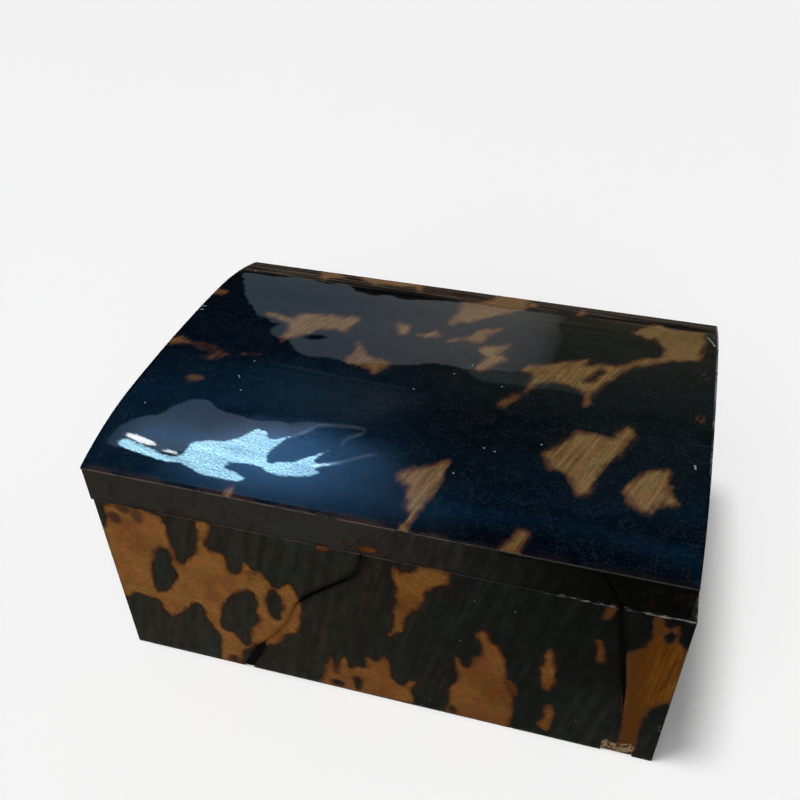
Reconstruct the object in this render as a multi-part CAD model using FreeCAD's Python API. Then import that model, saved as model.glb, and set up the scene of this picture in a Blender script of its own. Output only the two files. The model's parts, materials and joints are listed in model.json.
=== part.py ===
import FreeCAD, Part
import math
import os

# A domed box for papers. A plain wooden carcase is veneered on every outer face with thin plates
# of tortoiseshell, and the shallow domed lid is built from staves and hung on two butt hinges.
# Sizes are in millimetres. X runs along the front, Y from front to back and Z upwards.
# The origin is the middle of the underside.

# Base, measured over the veneer.
BASE_WIDTH = 250.0
BASE_DEPTH = 184.0
BASE_HEIGHT = 93.5

# Lid, which has shrunk a little and sits askew on the base with its back flush.
LID_RIM = 17.7          # straight front, from the seam up to the arris of the dome
DOME_RISE = 9.9         # crown above the front and back arrises
CROWN_RADIUS = 900.0    # nearly flat middle of the dome
CROWN_WIDTH = 92.0      # how far that middle reaches from front to back
LID_SHIFT = -2.1        # middle of the lid from the middle of the base
LID_SHRINKAGE = 1.1     # less wide than the base
LID_SETBACK = 0.4       # front of the lid behind the front of the base

# Woodwork.
BOARD = 10.0            # thickness of the walls and of the lid's rails
CORNER_REBATE = 5.0     # how deep the ends lap into the front and back
BOTTOM = 8.0            # thickness of the bottom board
BOTTOM_REBATE = 5.0     # how deep the bottom board lies in the walls
STAVE = 6.0             # thickness of the lid's staves
STAVE_COUNT = 4

# Veneer.
VENEER = 0.8
CORNER_EASE = 0.6       # rounding of the upright corners
SEAM_GAP = 4.8          # widest opening between two plates
SEAM_LEAST = 0.15       # narrowest opening between two plates
SEAM_POINTS = 48        # places along a joint where its two sides are set out
CHIP_WIDTH = 14.0       # piece lost at the foot of the front
CHIP_HEIGHT = 9.0
NICK_WIDTH = 2.2        # small loss at the right corner of the front
NICK_HEIGHT = 6.0

# Hinges.
HINGE_FROM_END = 55.0   # middle of a hinge from the end of the base
HINGE_LENGTH = 40.0
KNUCKLE = 5.0           # diameter of the barrels, flush with the back
KNUCKLE_COUNT = 3
KNUCKLE_GAP = 0.2       # between barrels end to end
KNUCKLE_CLEARANCE = 0.25
LEAF = 1.4              # thickness of a leaf
LEAF_WIDTH = 7.4        # from the pin's axis to the edge of the leaf
LEAF_RELIEF = 0.1       # leaf below the edge that it is let into
PIN = 2.0
PIN_CLEARANCE = 0.05
OPENING_ANGLE = 100.0   # where the bevels at the back stop the lid, in degrees

# Screws.
SCREW_SHANK = 2.0
SCREW_HEAD = 3.6
SCREW_LENGTH = 8.0
SCREW_POINT = 1.6       # length of the tapered tip
SCREW_SLOT = 0.6        # width of the driver slot
SCREW_SLOT_DEPTH = 0.45
SCREW_CLEARANCE = 0.05
SCREW_INSET = 4.9       # from the pin's axis
SCREW_SPACING = 13.0
SCREWS_PER_LEAF = 3

OVERRUN = 2.0           # how far cutting shapes run past what they cut

# Joints between the veneer plates, as places across half the width, places up the face and
# openings as shares of the widest gap. The ends run past the edges of the face.
BASE_SEAM_LEFT_SHARES = (
    (-0.533, -0.02, 0.95), (-0.503, 0.075, 1.0), (-0.473, 0.155, 0.95), (-0.455, 0.205, 0.7),
    (-0.44, 0.24, 0.12), (-0.41, 0.29, 0.03), (-0.36, 0.385, 0.03), (-0.325, 0.47, 0.03),
    (-0.305, 0.545, 0.04), (-0.285, 0.595, 0.2), (-0.26, 0.635, 0.42), (-0.21, 0.7, 0.48),
    (-0.14, 0.78, 0.4), (-0.09, 0.84, 0.32), (-0.055, 0.91, 0.24), (-0.045, 1.02, 0.15),
)
BASE_SEAM_RIGHT_SHARES = (
    (0.872, -0.02, 0.04), (0.868, 0.15, 0.04), (0.862, 0.29, 0.05), (0.854, 0.41, 0.12),
    (0.848, 0.48, 0.26), (0.835, 0.585, 0.38), (0.82, 0.695, 0.44), (0.798, 0.85, 0.42),
    (0.782, 0.965, 0.36), (0.775, 1.02, 0.32),
)
LID_SEAM_LEFT_SHARES = (
    (-0.095, -0.05, 0.04), (-0.07, 0.25, 0.04), (-0.022, 0.59, 0.04), (0.036, 0.91, 0.04), (0.06, 1.1, 0.04),
)
LID_SEAM_RIGHT_SHARES = (
    (0.78, -0.05, 0.32), (0.766, 0.25, 0.3), (0.743, 0.51, 0.28), (0.715, 0.81, 0.24), (0.686, 1.1, 0.18),
)
BASE_SEAM_BACK_SHARES = ((-0.12, -0.02, 0.06), (0.06, 0.5, 0.1), (0.16, 1.02, 0.06))
LID_SEAM_BACK_SHARES = ((0.16, -0.05, 0.06), (0.21, 1.1, 0.06))

# Middle of the chip and of the nick, across half the width and up the face.
CHIP_PLACE_SHARE = 0.875
NICK_PLACE_SHARE = 0.26

# Ragged outline of the chip, as shares of its width and height from its middle foot.
CHIP_SHARES = (
    (-0.50, -0.2), (-0.52, 0.7), (-0.38, 0.95), (-0.22, 0.72), (-0.10, 0.9),
    (0.16, 0.86), (0.30, 1.0), (0.48, 0.93), (0.52, 0.5), (0.46, -0.2),
)
NICK_SHARES = ((1.0, -0.5), (-0.5, -0.35), (-1.0, 0.05), (-0.4, 0.45), (1.0, 0.5))

# Derived sizes.
BASE_FRONT = -BASE_DEPTH / 2
BACK = BASE_DEPTH / 2
LID_FRONT = BASE_FRONT + LID_SETBACK
LID_WIDTH = BASE_WIDTH - LID_SHRINKAGE
LID_DEPTH = BASE_DEPTH - LID_SETBACK
LID_MIDDLE_Y = (LID_FRONT + BACK) / 2
LID_TOP = BASE_HEIGHT + LID_RIM + DOME_RISE

# The dome in section: a crown arc with a tighter shoulder arc tangent to it on each side.
CROWN_HALF = CROWN_WIDTH / 2
CROWN_ANGLE = math.asin(CROWN_HALF / CROWN_RADIUS)
SHOULDER_WIDTH = LID_DEPTH / 2 - CROWN_HALF
SHOULDER_DROP = DOME_RISE - CROWN_RADIUS * (1 - math.cos(CROWN_ANGLE))
ARRIS_ANGLE = 2 * math.atan(SHOULDER_DROP / SHOULDER_WIDTH) - CROWN_ANGLE
SHOULDER_RADIUS = SHOULDER_WIDTH / (math.sin(ARRIS_ANGLE) - math.sin(CROWN_ANGLE))

# The hinge axis lies in the seam, with the barrels flush with the back.
AXIS_Y = BACK - KNUCKLE / 2
AXIS_Z = BASE_HEIGHT
HINGE_RIGHT = BASE_WIDTH / 2 - HINGE_FROM_END
HINGE_PLACES = {"left": -HINGE_RIGHT, "right": HINGE_RIGHT}
DOWN = -1
UP = 1


def around(middle, width):
    """Span of a width about its middle."""
    return (middle - width / 2, middle + width / 2)


def inside(span, margin):
    """Span drawn in by a margin at both ends, or widened where the margin is negative."""
    return (span[0] + margin, span[1] - margin)


def block(x_span, y_span, z_span):
    """Block between two values on each axis."""
    corner = FreeCAD.Vector(x_span[0], y_span[0], z_span[0])
    sides = [span[1] - span[0] for span in (x_span, y_span, z_span)]
    return Part.makeBox(*sides, corner)


def prism_along_x(outline, x_span):
    """Solid with an outline of (y, z) points."""
    points = [FreeCAD.Vector(x_span[0], y, z) for y, z in outline]
    face = Part.Face(Part.makePolygon(points + points[:1]))
    return face.extrude(FreeCAD.Vector(x_span[1] - x_span[0], 0, 0))


def prism_along_y(outline, y_span):
    """Solid with an outline of (x, z) points."""
    points = [FreeCAD.Vector(x, y_span[0], z) for x, z in outline]
    face = Part.Face(Part.makePolygon(points + points[:1]))
    return face.extrude(FreeCAD.Vector(0, y_span[1] - y_span[0], 0))


def rod_along_x(radius, x_span):
    """Cylinder on the hinge axis."""
    start = FreeCAD.Vector(x_span[0], AXIS_Y, AXIS_Z)
    return Part.makeCylinder(radius, x_span[1] - x_span[0], start, FreeCAD.Vector(1, 0, 0))


def dome_prism(inset, x_span, half_depth):
    """Everything from the seam up to the dome's outer surface moved in by an inset."""
    crown_z = LID_TOP - CROWN_RADIUS
    radius_step = CROWN_RADIUS - SHOULDER_RADIUS
    shoulder_y = radius_step * math.sin(CROWN_ANGLE)
    shoulder_z = crown_z + radius_step * math.cos(CROWN_ANGLE)
    end_angle = math.asin((half_depth - shoulder_y) / (SHOULDER_RADIUS - inset))

    def on_shoulder(side, angle):
        y = shoulder_y + (SHOULDER_RADIUS - inset) * math.sin(angle)
        z = shoulder_z + (SHOULDER_RADIUS - inset) * math.cos(angle)
        return FreeCAD.Vector(x_span[0], LID_MIDDLE_Y + side * y, z)

    middle_angle = (CROWN_ANGLE + end_angle) / 2
    front = [on_shoulder(-1, angle) for angle in (end_angle, middle_angle, CROWN_ANGLE)]
    back = [on_shoulder(1, angle) for angle in (CROWN_ANGLE, middle_angle, end_angle)]
    crown = FreeCAD.Vector(x_span[0], LID_MIDDLE_Y, LID_TOP - inset)
    foot_back = FreeCAD.Vector(x_span[0], LID_MIDDLE_Y + half_depth, BASE_HEIGHT)
    foot_front = FreeCAD.Vector(x_span[0], LID_MIDDLE_Y - half_depth, BASE_HEIGHT)
    edges = [
        Part.Arc(*front).toShape(),
        Part.Arc(front[-1], crown, back[0]).toShape(),
        Part.Arc(*back).toShape(),
        Part.makeLine(back[-1], foot_back),
        Part.makeLine(foot_back, foot_front),
        Part.makeLine(foot_front, front[0]),
    ]
    return Part.Face(Part.Wire(edges)).extrude(FreeCAD.Vector(x_span[1] - x_span[0], 0, 0))


def ease_corners(shape, y_faces):
    """Rounds the upright edges of a shape that lie at the given places from front to back."""
    upright = []
    for edge in shape.Edges:
        run = edge.BoundBox
        stands = run.ZLength > run.XLength + run.YLength
        if stands and min(abs(run.Center.y - y) for y in y_faces) < VENEER / 2:
            upright.append(edge)
    return shape.makeFillet(min(CORNER_EASE, VENEER), upright)


def rebated_frame(x_span, y_span, z_span):
    """Four boards round a box. The front and back run through and the ends lap into them."""
    lap = BOARD - CORNER_REBATE
    left = block((x_span[0], x_span[0] + BOARD), inside(y_span, lap), z_span)
    right = block((x_span[1] - BOARD, x_span[1]), inside(y_span, lap), z_span)
    front = block(x_span, (y_span[0], y_span[0] + BOARD), z_span).cut([left, right])
    back = block(x_span, (y_span[1] - BOARD, y_span[1]), z_span).cut([left, right])
    return {"front": front, "back": back, "left": left, "right": right}


def back_bevel(side):
    """Wedge cut from the back edge of the base (down) or lid (up), so that the lid can swing."""
    reach = KNUCKLE / 2 + OVERRUN
    fall = reach * math.tan(math.radians(OPENING_ANGLE / 2))
    outline = [
        (AXIS_Y, AXIS_Z),
        (AXIS_Y, AXIS_Z - side * OVERRUN),
        (AXIS_Y + reach, AXIS_Z - side * OVERRUN),
        (AXIS_Y + reach, AXIS_Z + side * fall),
    ]
    return prism_along_x(outline, around(LID_SHIFT, BASE_WIDTH + 2 * OVERRUN - 2 * LID_SHIFT))


def hinge_trough(place):
    """Round channel that clears the barrels of one hinge."""
    return rod_along_x(KNUCKLE / 2 + KNUCKLE_CLEARANCE, around(place, HINGE_LENGTH + 2 * KNUCKLE_GAP))


def leaf_thickness(side):
    """Heights between which a leaf lies, ordered upwards."""
    near = AXIS_Z + side * LEAF_RELIEF
    far = near + side * LEAF
    return (min(near, far), max(near, far))


def leaf_mortise(place, side):
    """Pocket in the edge of the wood that a leaf is let into."""
    low, high = leaf_thickness(side)
    z_span = (low, high + OVERRUN) if side == DOWN else (low - OVERRUN, high)
    return block(around(place, HINGE_LENGTH), (AXIS_Y - LEAF_WIDTH, AXIS_Y), z_span)


def screw_places(place):
    """Middles of the screws of one leaf."""
    first = place - SCREW_SPACING * (SCREWS_PER_LEAF - 1) / 2
    return [first + SCREW_SPACING * number for number in range(SCREWS_PER_LEAF)]


def screw_blank(place, side, clearance):
    """Countersunk wood screw without its slot, or the hole for it where there is a clearance."""
    direction = FreeCAD.Vector(0, 0, side)
    top = FreeCAD.Vector(place, AXIS_Y - SCREW_INSET, AXIS_Z + side * LEAF_RELIEF)
    head_radius = SCREW_HEAD / 2 + clearance
    shank_radius = SCREW_SHANK / 2 + clearance
    taper = head_radius - shank_radius
    straight = SCREW_LENGTH - SCREW_POINT
    head = Part.makeCone(head_radius, shank_radius, taper, top, direction)
    shank = Part.makeCylinder(shank_radius, straight, top, direction)
    point_start = top + direction * straight
    point = Part.makeCone(shank_radius, clearance, SCREW_POINT + clearance, point_start, direction)
    return head.fuse([shank, point]).removeSplitter()


def screw(place, side):
    """One slotted screw."""
    face_z = AXIS_Z + side * LEAF_RELIEF
    slot_end = face_z + side * SCREW_SLOT_DEPTH
    slot = block(
        around(place, SCREW_HEAD + OVERRUN),
        around(AXIS_Y - SCREW_INSET, SCREW_SLOT),
        (min(face_z, slot_end), max(face_z, slot_end)),
    )
    return screw_blank(place, side, 0).cut(slot)


def screw_holes(side):
    """Holes for all the screws of the base (down) or lid (up)."""
    holes = []
    for place in HINGE_PLACES.values():
        holes += [screw_blank(x, side, SCREW_CLEARANCE) for x in screw_places(place)]
    return holes


def barrel_spans(place):
    """Ends of each barrel of one hinge along the axis."""
    pitch = (HINGE_LENGTH + KNUCKLE_GAP) / KNUCKLE_COUNT
    first = place - HINGE_LENGTH / 2
    starts = [first + pitch * number for number in range(KNUCKLE_COUNT)]
    return [(start, start + pitch - KNUCKLE_GAP) for start in starts]


def hinge_leaf(place, side):
    """Leaf with its own barrels. The base has the outer barrels and the lid those between."""
    spans = barrel_spans(place)
    own, others = (spans[0::2], spans[1::2]) if side == DOWN else (spans[1::2], spans[0::2])
    plate = block(around(place, HINGE_LENGTH), (AXIS_Y - LEAF_WIDTH, AXIS_Y), leaf_thickness(side))
    barrels = [rod_along_x(KNUCKLE / 2, span) for span in own]
    room = [
        rod_along_x(KNUCKLE / 2 + KNUCKLE_CLEARANCE, inside(span, -KNUCKLE_GAP)) for span in others
    ]
    bore = rod_along_x(PIN / 2 + PIN_CLEARANCE, around(place, HINGE_LENGTH + OVERRUN))
    holes = [screw_blank(x, side, SCREW_CLEARANCE) for x in screw_places(place)]
    return plate.cut(room).fuse(barrels).cut([bore] + holes).removeSplitter()


def base_boards():
    """Four walls and the bottom board let into them."""
    x_span = around(0, BASE_WIDTH - 2 * VENEER)
    y_span = inside((BASE_FRONT, BACK), VENEER)
    walls = rebated_frame(x_span, y_span, (0, BASE_HEIGHT))
    rim = BOARD - BOTTOM_REBATE
    bottom = block(inside(x_span, rim), inside(y_span, rim), (0, BOTTOM))
    boards = {f"base_{name}_board": wall.cut(bottom) for name, wall in walls.items()}
    boards["base_bottom_board"] = bottom
    fittings = [leaf_mortise(place, DOWN) for place in HINGE_PLACES.values()]
    fittings += [hinge_trough(place) for place in HINGE_PLACES.values()]
    fittings += [back_bevel(DOWN)] + screw_holes(DOWN)
    boards["base_back_board"] = boards["base_back_board"].cut(fittings)
    return boards


def lid_woodwork():
    """Rails round the lid, shaped to the underside of the staves, and the staves."""
    x_span = around(LID_SHIFT, LID_WIDTH - 2 * VENEER)
    y_span = inside((LID_FRONT, BACK), VENEER)
    half_depth = LID_DEPTH / 2 - VENEER
    rails = rebated_frame(x_span, y_span, (BASE_HEIGHT, LID_TOP))
    under_staves = dome_prism(VENEER + STAVE, inside(x_span, -OVERRUN), half_depth + OVERRUN)
    pieces = {f"lid_{name}_rail": rail.common(under_staves) for name, rail in rails.items()}
    fittings = [leaf_mortise(place, UP) for place in HINGE_PLACES.values()]
    fittings += [hinge_trough(place) for place in HINGE_PLACES.values()]
    fittings += [back_bevel(UP)] + screw_holes(UP)
    pieces["lid_back_rail"] = pieces["lid_back_rail"].cut(fittings)

    dome = dome_prism(VENEER, x_span, half_depth).cut(under_staves)
    stave_width = 2 * half_depth / STAVE_COUNT
    for number in range(STAVE_COUNT):
        start = y_span[0] + stave_width * number
        slice_block = block(x_span, (start, start + stave_width), (BASE_HEIGHT, LID_TOP))
        pieces[f"lid_stave_{number + 1}"] = dome.common(slice_block)
    return pieces


def curve_through(points):
    """Smooth edge through points."""
    curve = Part.BSplineCurve()
    curve.interpolate(points)
    return curve.toShape()


def seam_cut(shares, y_span, foot, height):
    """Winding opening between two plates that stand on a foot and have a height."""
    places = []
    for across, up, opening in shares:
        places.append(FreeCAD.Vector(across * BASE_WIDTH / 2, opening * SEAM_GAP, foot + up * height))
    # One smooth line carries the place and the opening, so the two sides never cross.
    line = Part.BSplineCurve()
    line.interpolate(places)
    left = []
    right = []
    for place in line.discretize(SEAM_POINTS):
        half_gap = max(place.y, SEAM_LEAST) / 2
        left.append(FreeCAD.Vector(place.x - half_gap, y_span[0], place.z))
        right.append(FreeCAD.Vector(place.x + half_gap, y_span[0], place.z))
    edges = [
        curve_through(left),
        Part.makeLine(left[-1], right[-1]),
        curve_through(right[::-1]),
        Part.makeLine(right[0], left[0]),
    ]
    return Part.Face(Part.Wire(edges)).extrude(FreeCAD.Vector(0, y_span[1] - y_span[0], 0))


def plates(sheet, openings, names, prefix):
    """Parts of one sheet, from left to right, after its openings are cut."""
    solids = sorted(sheet.cut(openings).Solids, key=lambda solid: solid.CenterOfMass.x)
    return {f"{prefix}_{name}": solid for name, solid in zip(names, solids, strict=True)}


def chip_cuts(y_span):
    """Losses from the front veneer of the base."""
    half_width = BASE_WIDTH / 2
    chip_x = CHIP_PLACE_SHARE * half_width
    chip = [(chip_x + x * CHIP_WIDTH, z * CHIP_HEIGHT) for x, z in CHIP_SHARES]
    nick_z = NICK_PLACE_SHARE * BASE_HEIGHT
    nick = [(half_width + x * NICK_WIDTH, nick_z + z * NICK_HEIGHT) for x, z in NICK_SHARES]
    return [prism_along_y(outline, y_span) for outline in (chip, nick)]


def base_veneer():
    """Plates on the front, back and ends of the base."""
    x_span = around(0, BASE_WIDTH)
    z_span = (0, BASE_HEIGHT)
    front_y = (BASE_FRONT, BASE_FRONT + VENEER)
    back_y = (BACK - VENEER, BACK)
    front = ease_corners(block(x_span, front_y, z_span), [BASE_FRONT])
    cut_y = inside(front_y, -OVERRUN)
    openings = [
        seam_cut(shares, cut_y, 0, BASE_HEIGHT)
        for shares in (BASE_SEAM_LEFT_SHARES, BASE_SEAM_RIGHT_SHARES)
    ]
    pieces = plates(front, openings + chip_cuts(cut_y), ("left", "middle", "right"), "base_front_veneer")

    back = ease_corners(block(x_span, back_y, z_span), [BACK])
    openings = [seam_cut(BASE_SEAM_BACK_SHARES, inside(back_y, -OVERRUN), 0, BASE_HEIGHT)]
    openings += [hinge_trough(place) for place in HINGE_PLACES.values()] + [back_bevel(DOWN)]
    pieces |= plates(back, openings, ("left", "right"), "base_back_veneer")

    end_y = (front_y[1], back_y[0])
    pieces["base_left_veneer"] = block((x_span[0], x_span[0] + VENEER), end_y, z_span)
    pieces["base_right_veneer"] = block((x_span[1] - VENEER, x_span[1]), end_y, z_span)
    for name in ("base_left_veneer", "base_right_veneer"):
        pieces[name] = pieces[name].cut(back_bevel(DOWN))
    return pieces


def lid_veneer():
    """Plates on the front, back and ends of the lid, under the bent sheet that covers the dome."""
    x_span = around(LID_SHIFT, LID_WIDTH)
    z_span = (BASE_HEIGHT, LID_TOP)
    front_y = (LID_FRONT, LID_FRONT + VENEER)
    back_y = (BACK - VENEER, BACK)
    under_sheet = dome_prism(VENEER, inside(x_span, -OVERRUN), LID_DEPTH / 2 + OVERRUN)
    sheet = ease_corners(dome_prism(0, x_span, LID_DEPTH / 2), [LID_FRONT, BACK])
    pieces = {"lid_top_veneer": sheet.cut(under_sheet)}

    front = ease_corners(block(x_span, front_y, z_span), [LID_FRONT]).common(under_sheet)
    openings = [
        seam_cut(shares, inside(front_y, -OVERRUN), BASE_HEIGHT, LID_RIM)
        for shares in (LID_SEAM_LEFT_SHARES, LID_SEAM_RIGHT_SHARES)
    ]
    pieces |= plates(front, openings, ("left", "middle", "right"), "lid_front_veneer")

    back = ease_corners(block(x_span, back_y, z_span), [BACK]).common(under_sheet)
    openings = [seam_cut(LID_SEAM_BACK_SHARES, inside(back_y, -OVERRUN), BASE_HEIGHT, LID_RIM)]
    openings += [hinge_trough(place) for place in HINGE_PLACES.values()] + [back_bevel(UP)]
    pieces |= plates(back, openings, ("left", "right"), "lid_back_veneer")

    end_y = (front_y[1], back_y[0])
    ends = {
        "lid_left_veneer": block((x_span[0], x_span[0] + VENEER), end_y, z_span),
        "lid_right_veneer": block((x_span[1] - VENEER, x_span[1]), end_y, z_span),
    }
    for name, end in ends.items():
        pieces[name] = end.common(under_sheet).cut(back_bevel(UP))
    return pieces


def hinges():
    """Leaves and pin of each hinge, and the screws that hold them."""
    pieces = {}
    for name, place in HINGE_PLACES.items():
        pieces[f"{name}_hinge_base_leaf"] = hinge_leaf(place, DOWN)
        pieces[f"{name}_hinge_lid_leaf"] = hinge_leaf(place, UP)
        pieces[f"{name}_hinge_pin"] = rod_along_x(PIN / 2, around(place, HINGE_LENGTH))
    for name, side in (("base", DOWN), ("lid", UP)):
        screws = []
        for place in HINGE_PLACES.values():
            screws += [screw(x, side) for x in screw_places(place)]
        pieces[f"hinge_{name}_screws"] = Part.makeCompound(screws)
    return pieces


os.makedirs("parts", exist_ok=True)
for make in (base_boards, base_veneer, lid_woodwork, lid_veneer, hinges):
    for node, shape in make().items():
        shape.exportStep(f"parts/{node}.step")
        print(node, len(shape.Solids), "solids, volume", round(shape.Volume, 1))
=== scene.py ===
import json
import math
from collections import namedtuple

import bmesh
import bpy
import numpy as np
from mathutils import Matrix, Vector, kdtree, noise

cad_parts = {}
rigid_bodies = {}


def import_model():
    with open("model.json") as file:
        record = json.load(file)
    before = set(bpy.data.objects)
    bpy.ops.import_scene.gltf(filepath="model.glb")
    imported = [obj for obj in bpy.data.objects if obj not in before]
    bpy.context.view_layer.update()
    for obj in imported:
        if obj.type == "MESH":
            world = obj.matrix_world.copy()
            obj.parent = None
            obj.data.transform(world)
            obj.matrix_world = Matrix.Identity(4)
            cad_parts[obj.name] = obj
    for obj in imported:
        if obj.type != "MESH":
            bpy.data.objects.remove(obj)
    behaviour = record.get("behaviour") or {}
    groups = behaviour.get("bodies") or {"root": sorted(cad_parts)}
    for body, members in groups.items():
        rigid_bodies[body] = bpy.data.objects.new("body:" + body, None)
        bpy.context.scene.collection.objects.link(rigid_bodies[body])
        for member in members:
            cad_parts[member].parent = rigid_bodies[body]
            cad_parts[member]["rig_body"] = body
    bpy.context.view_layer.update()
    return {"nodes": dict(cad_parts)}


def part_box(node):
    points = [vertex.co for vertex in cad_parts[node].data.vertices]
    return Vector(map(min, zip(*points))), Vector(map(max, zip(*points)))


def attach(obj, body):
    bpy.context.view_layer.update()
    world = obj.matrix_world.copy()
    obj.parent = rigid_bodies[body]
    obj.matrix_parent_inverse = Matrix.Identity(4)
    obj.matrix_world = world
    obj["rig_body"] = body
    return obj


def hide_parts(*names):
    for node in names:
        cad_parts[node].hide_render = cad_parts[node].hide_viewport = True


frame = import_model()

MM = 0.001

# Mottling: closed outlines in mm, X with Z on the front and X with Y on the lid.
# Tone runs from 0, red-brown, to 1, tan. Most caps how clear an island gets, in mm from its edge.
# A shade is a dark place in the amber; least is how far it takes the amber down.
Island = namedtuple("Island", "tone most outline")
Shade = namedtuple("Shade", "least outline")
CLEAR = 9.0
BLACK = -CLEAR
OVAL_POINTS = 10
# Share of an edge that is cut off at each end to round an outline.
CORNER_CUT = 0.25


def oval(x, y, half_x, half_y):
    """Outline of a small oval spot."""
    turns = [2 * math.pi * step / OVAL_POINTS for step in range(OVAL_POINTS)]
    return [(x + half_x * math.cos(turn), y + half_y * math.sin(turn)) for turn in turns]


def band(points, width):
    """Outline of a strip along a line of points, pointed at both ends."""
    line = np.array(points, dtype=float)
    along = np.gradient(line, axis=0)
    side = np.stack([-along[:, 1], along[:, 0]], axis=1) / np.linalg.norm(along, axis=1)[:, None] * width / 2
    side[[0, -1]] = 0
    return np.concatenate([line + side, (line - side)[::-1]])


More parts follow.
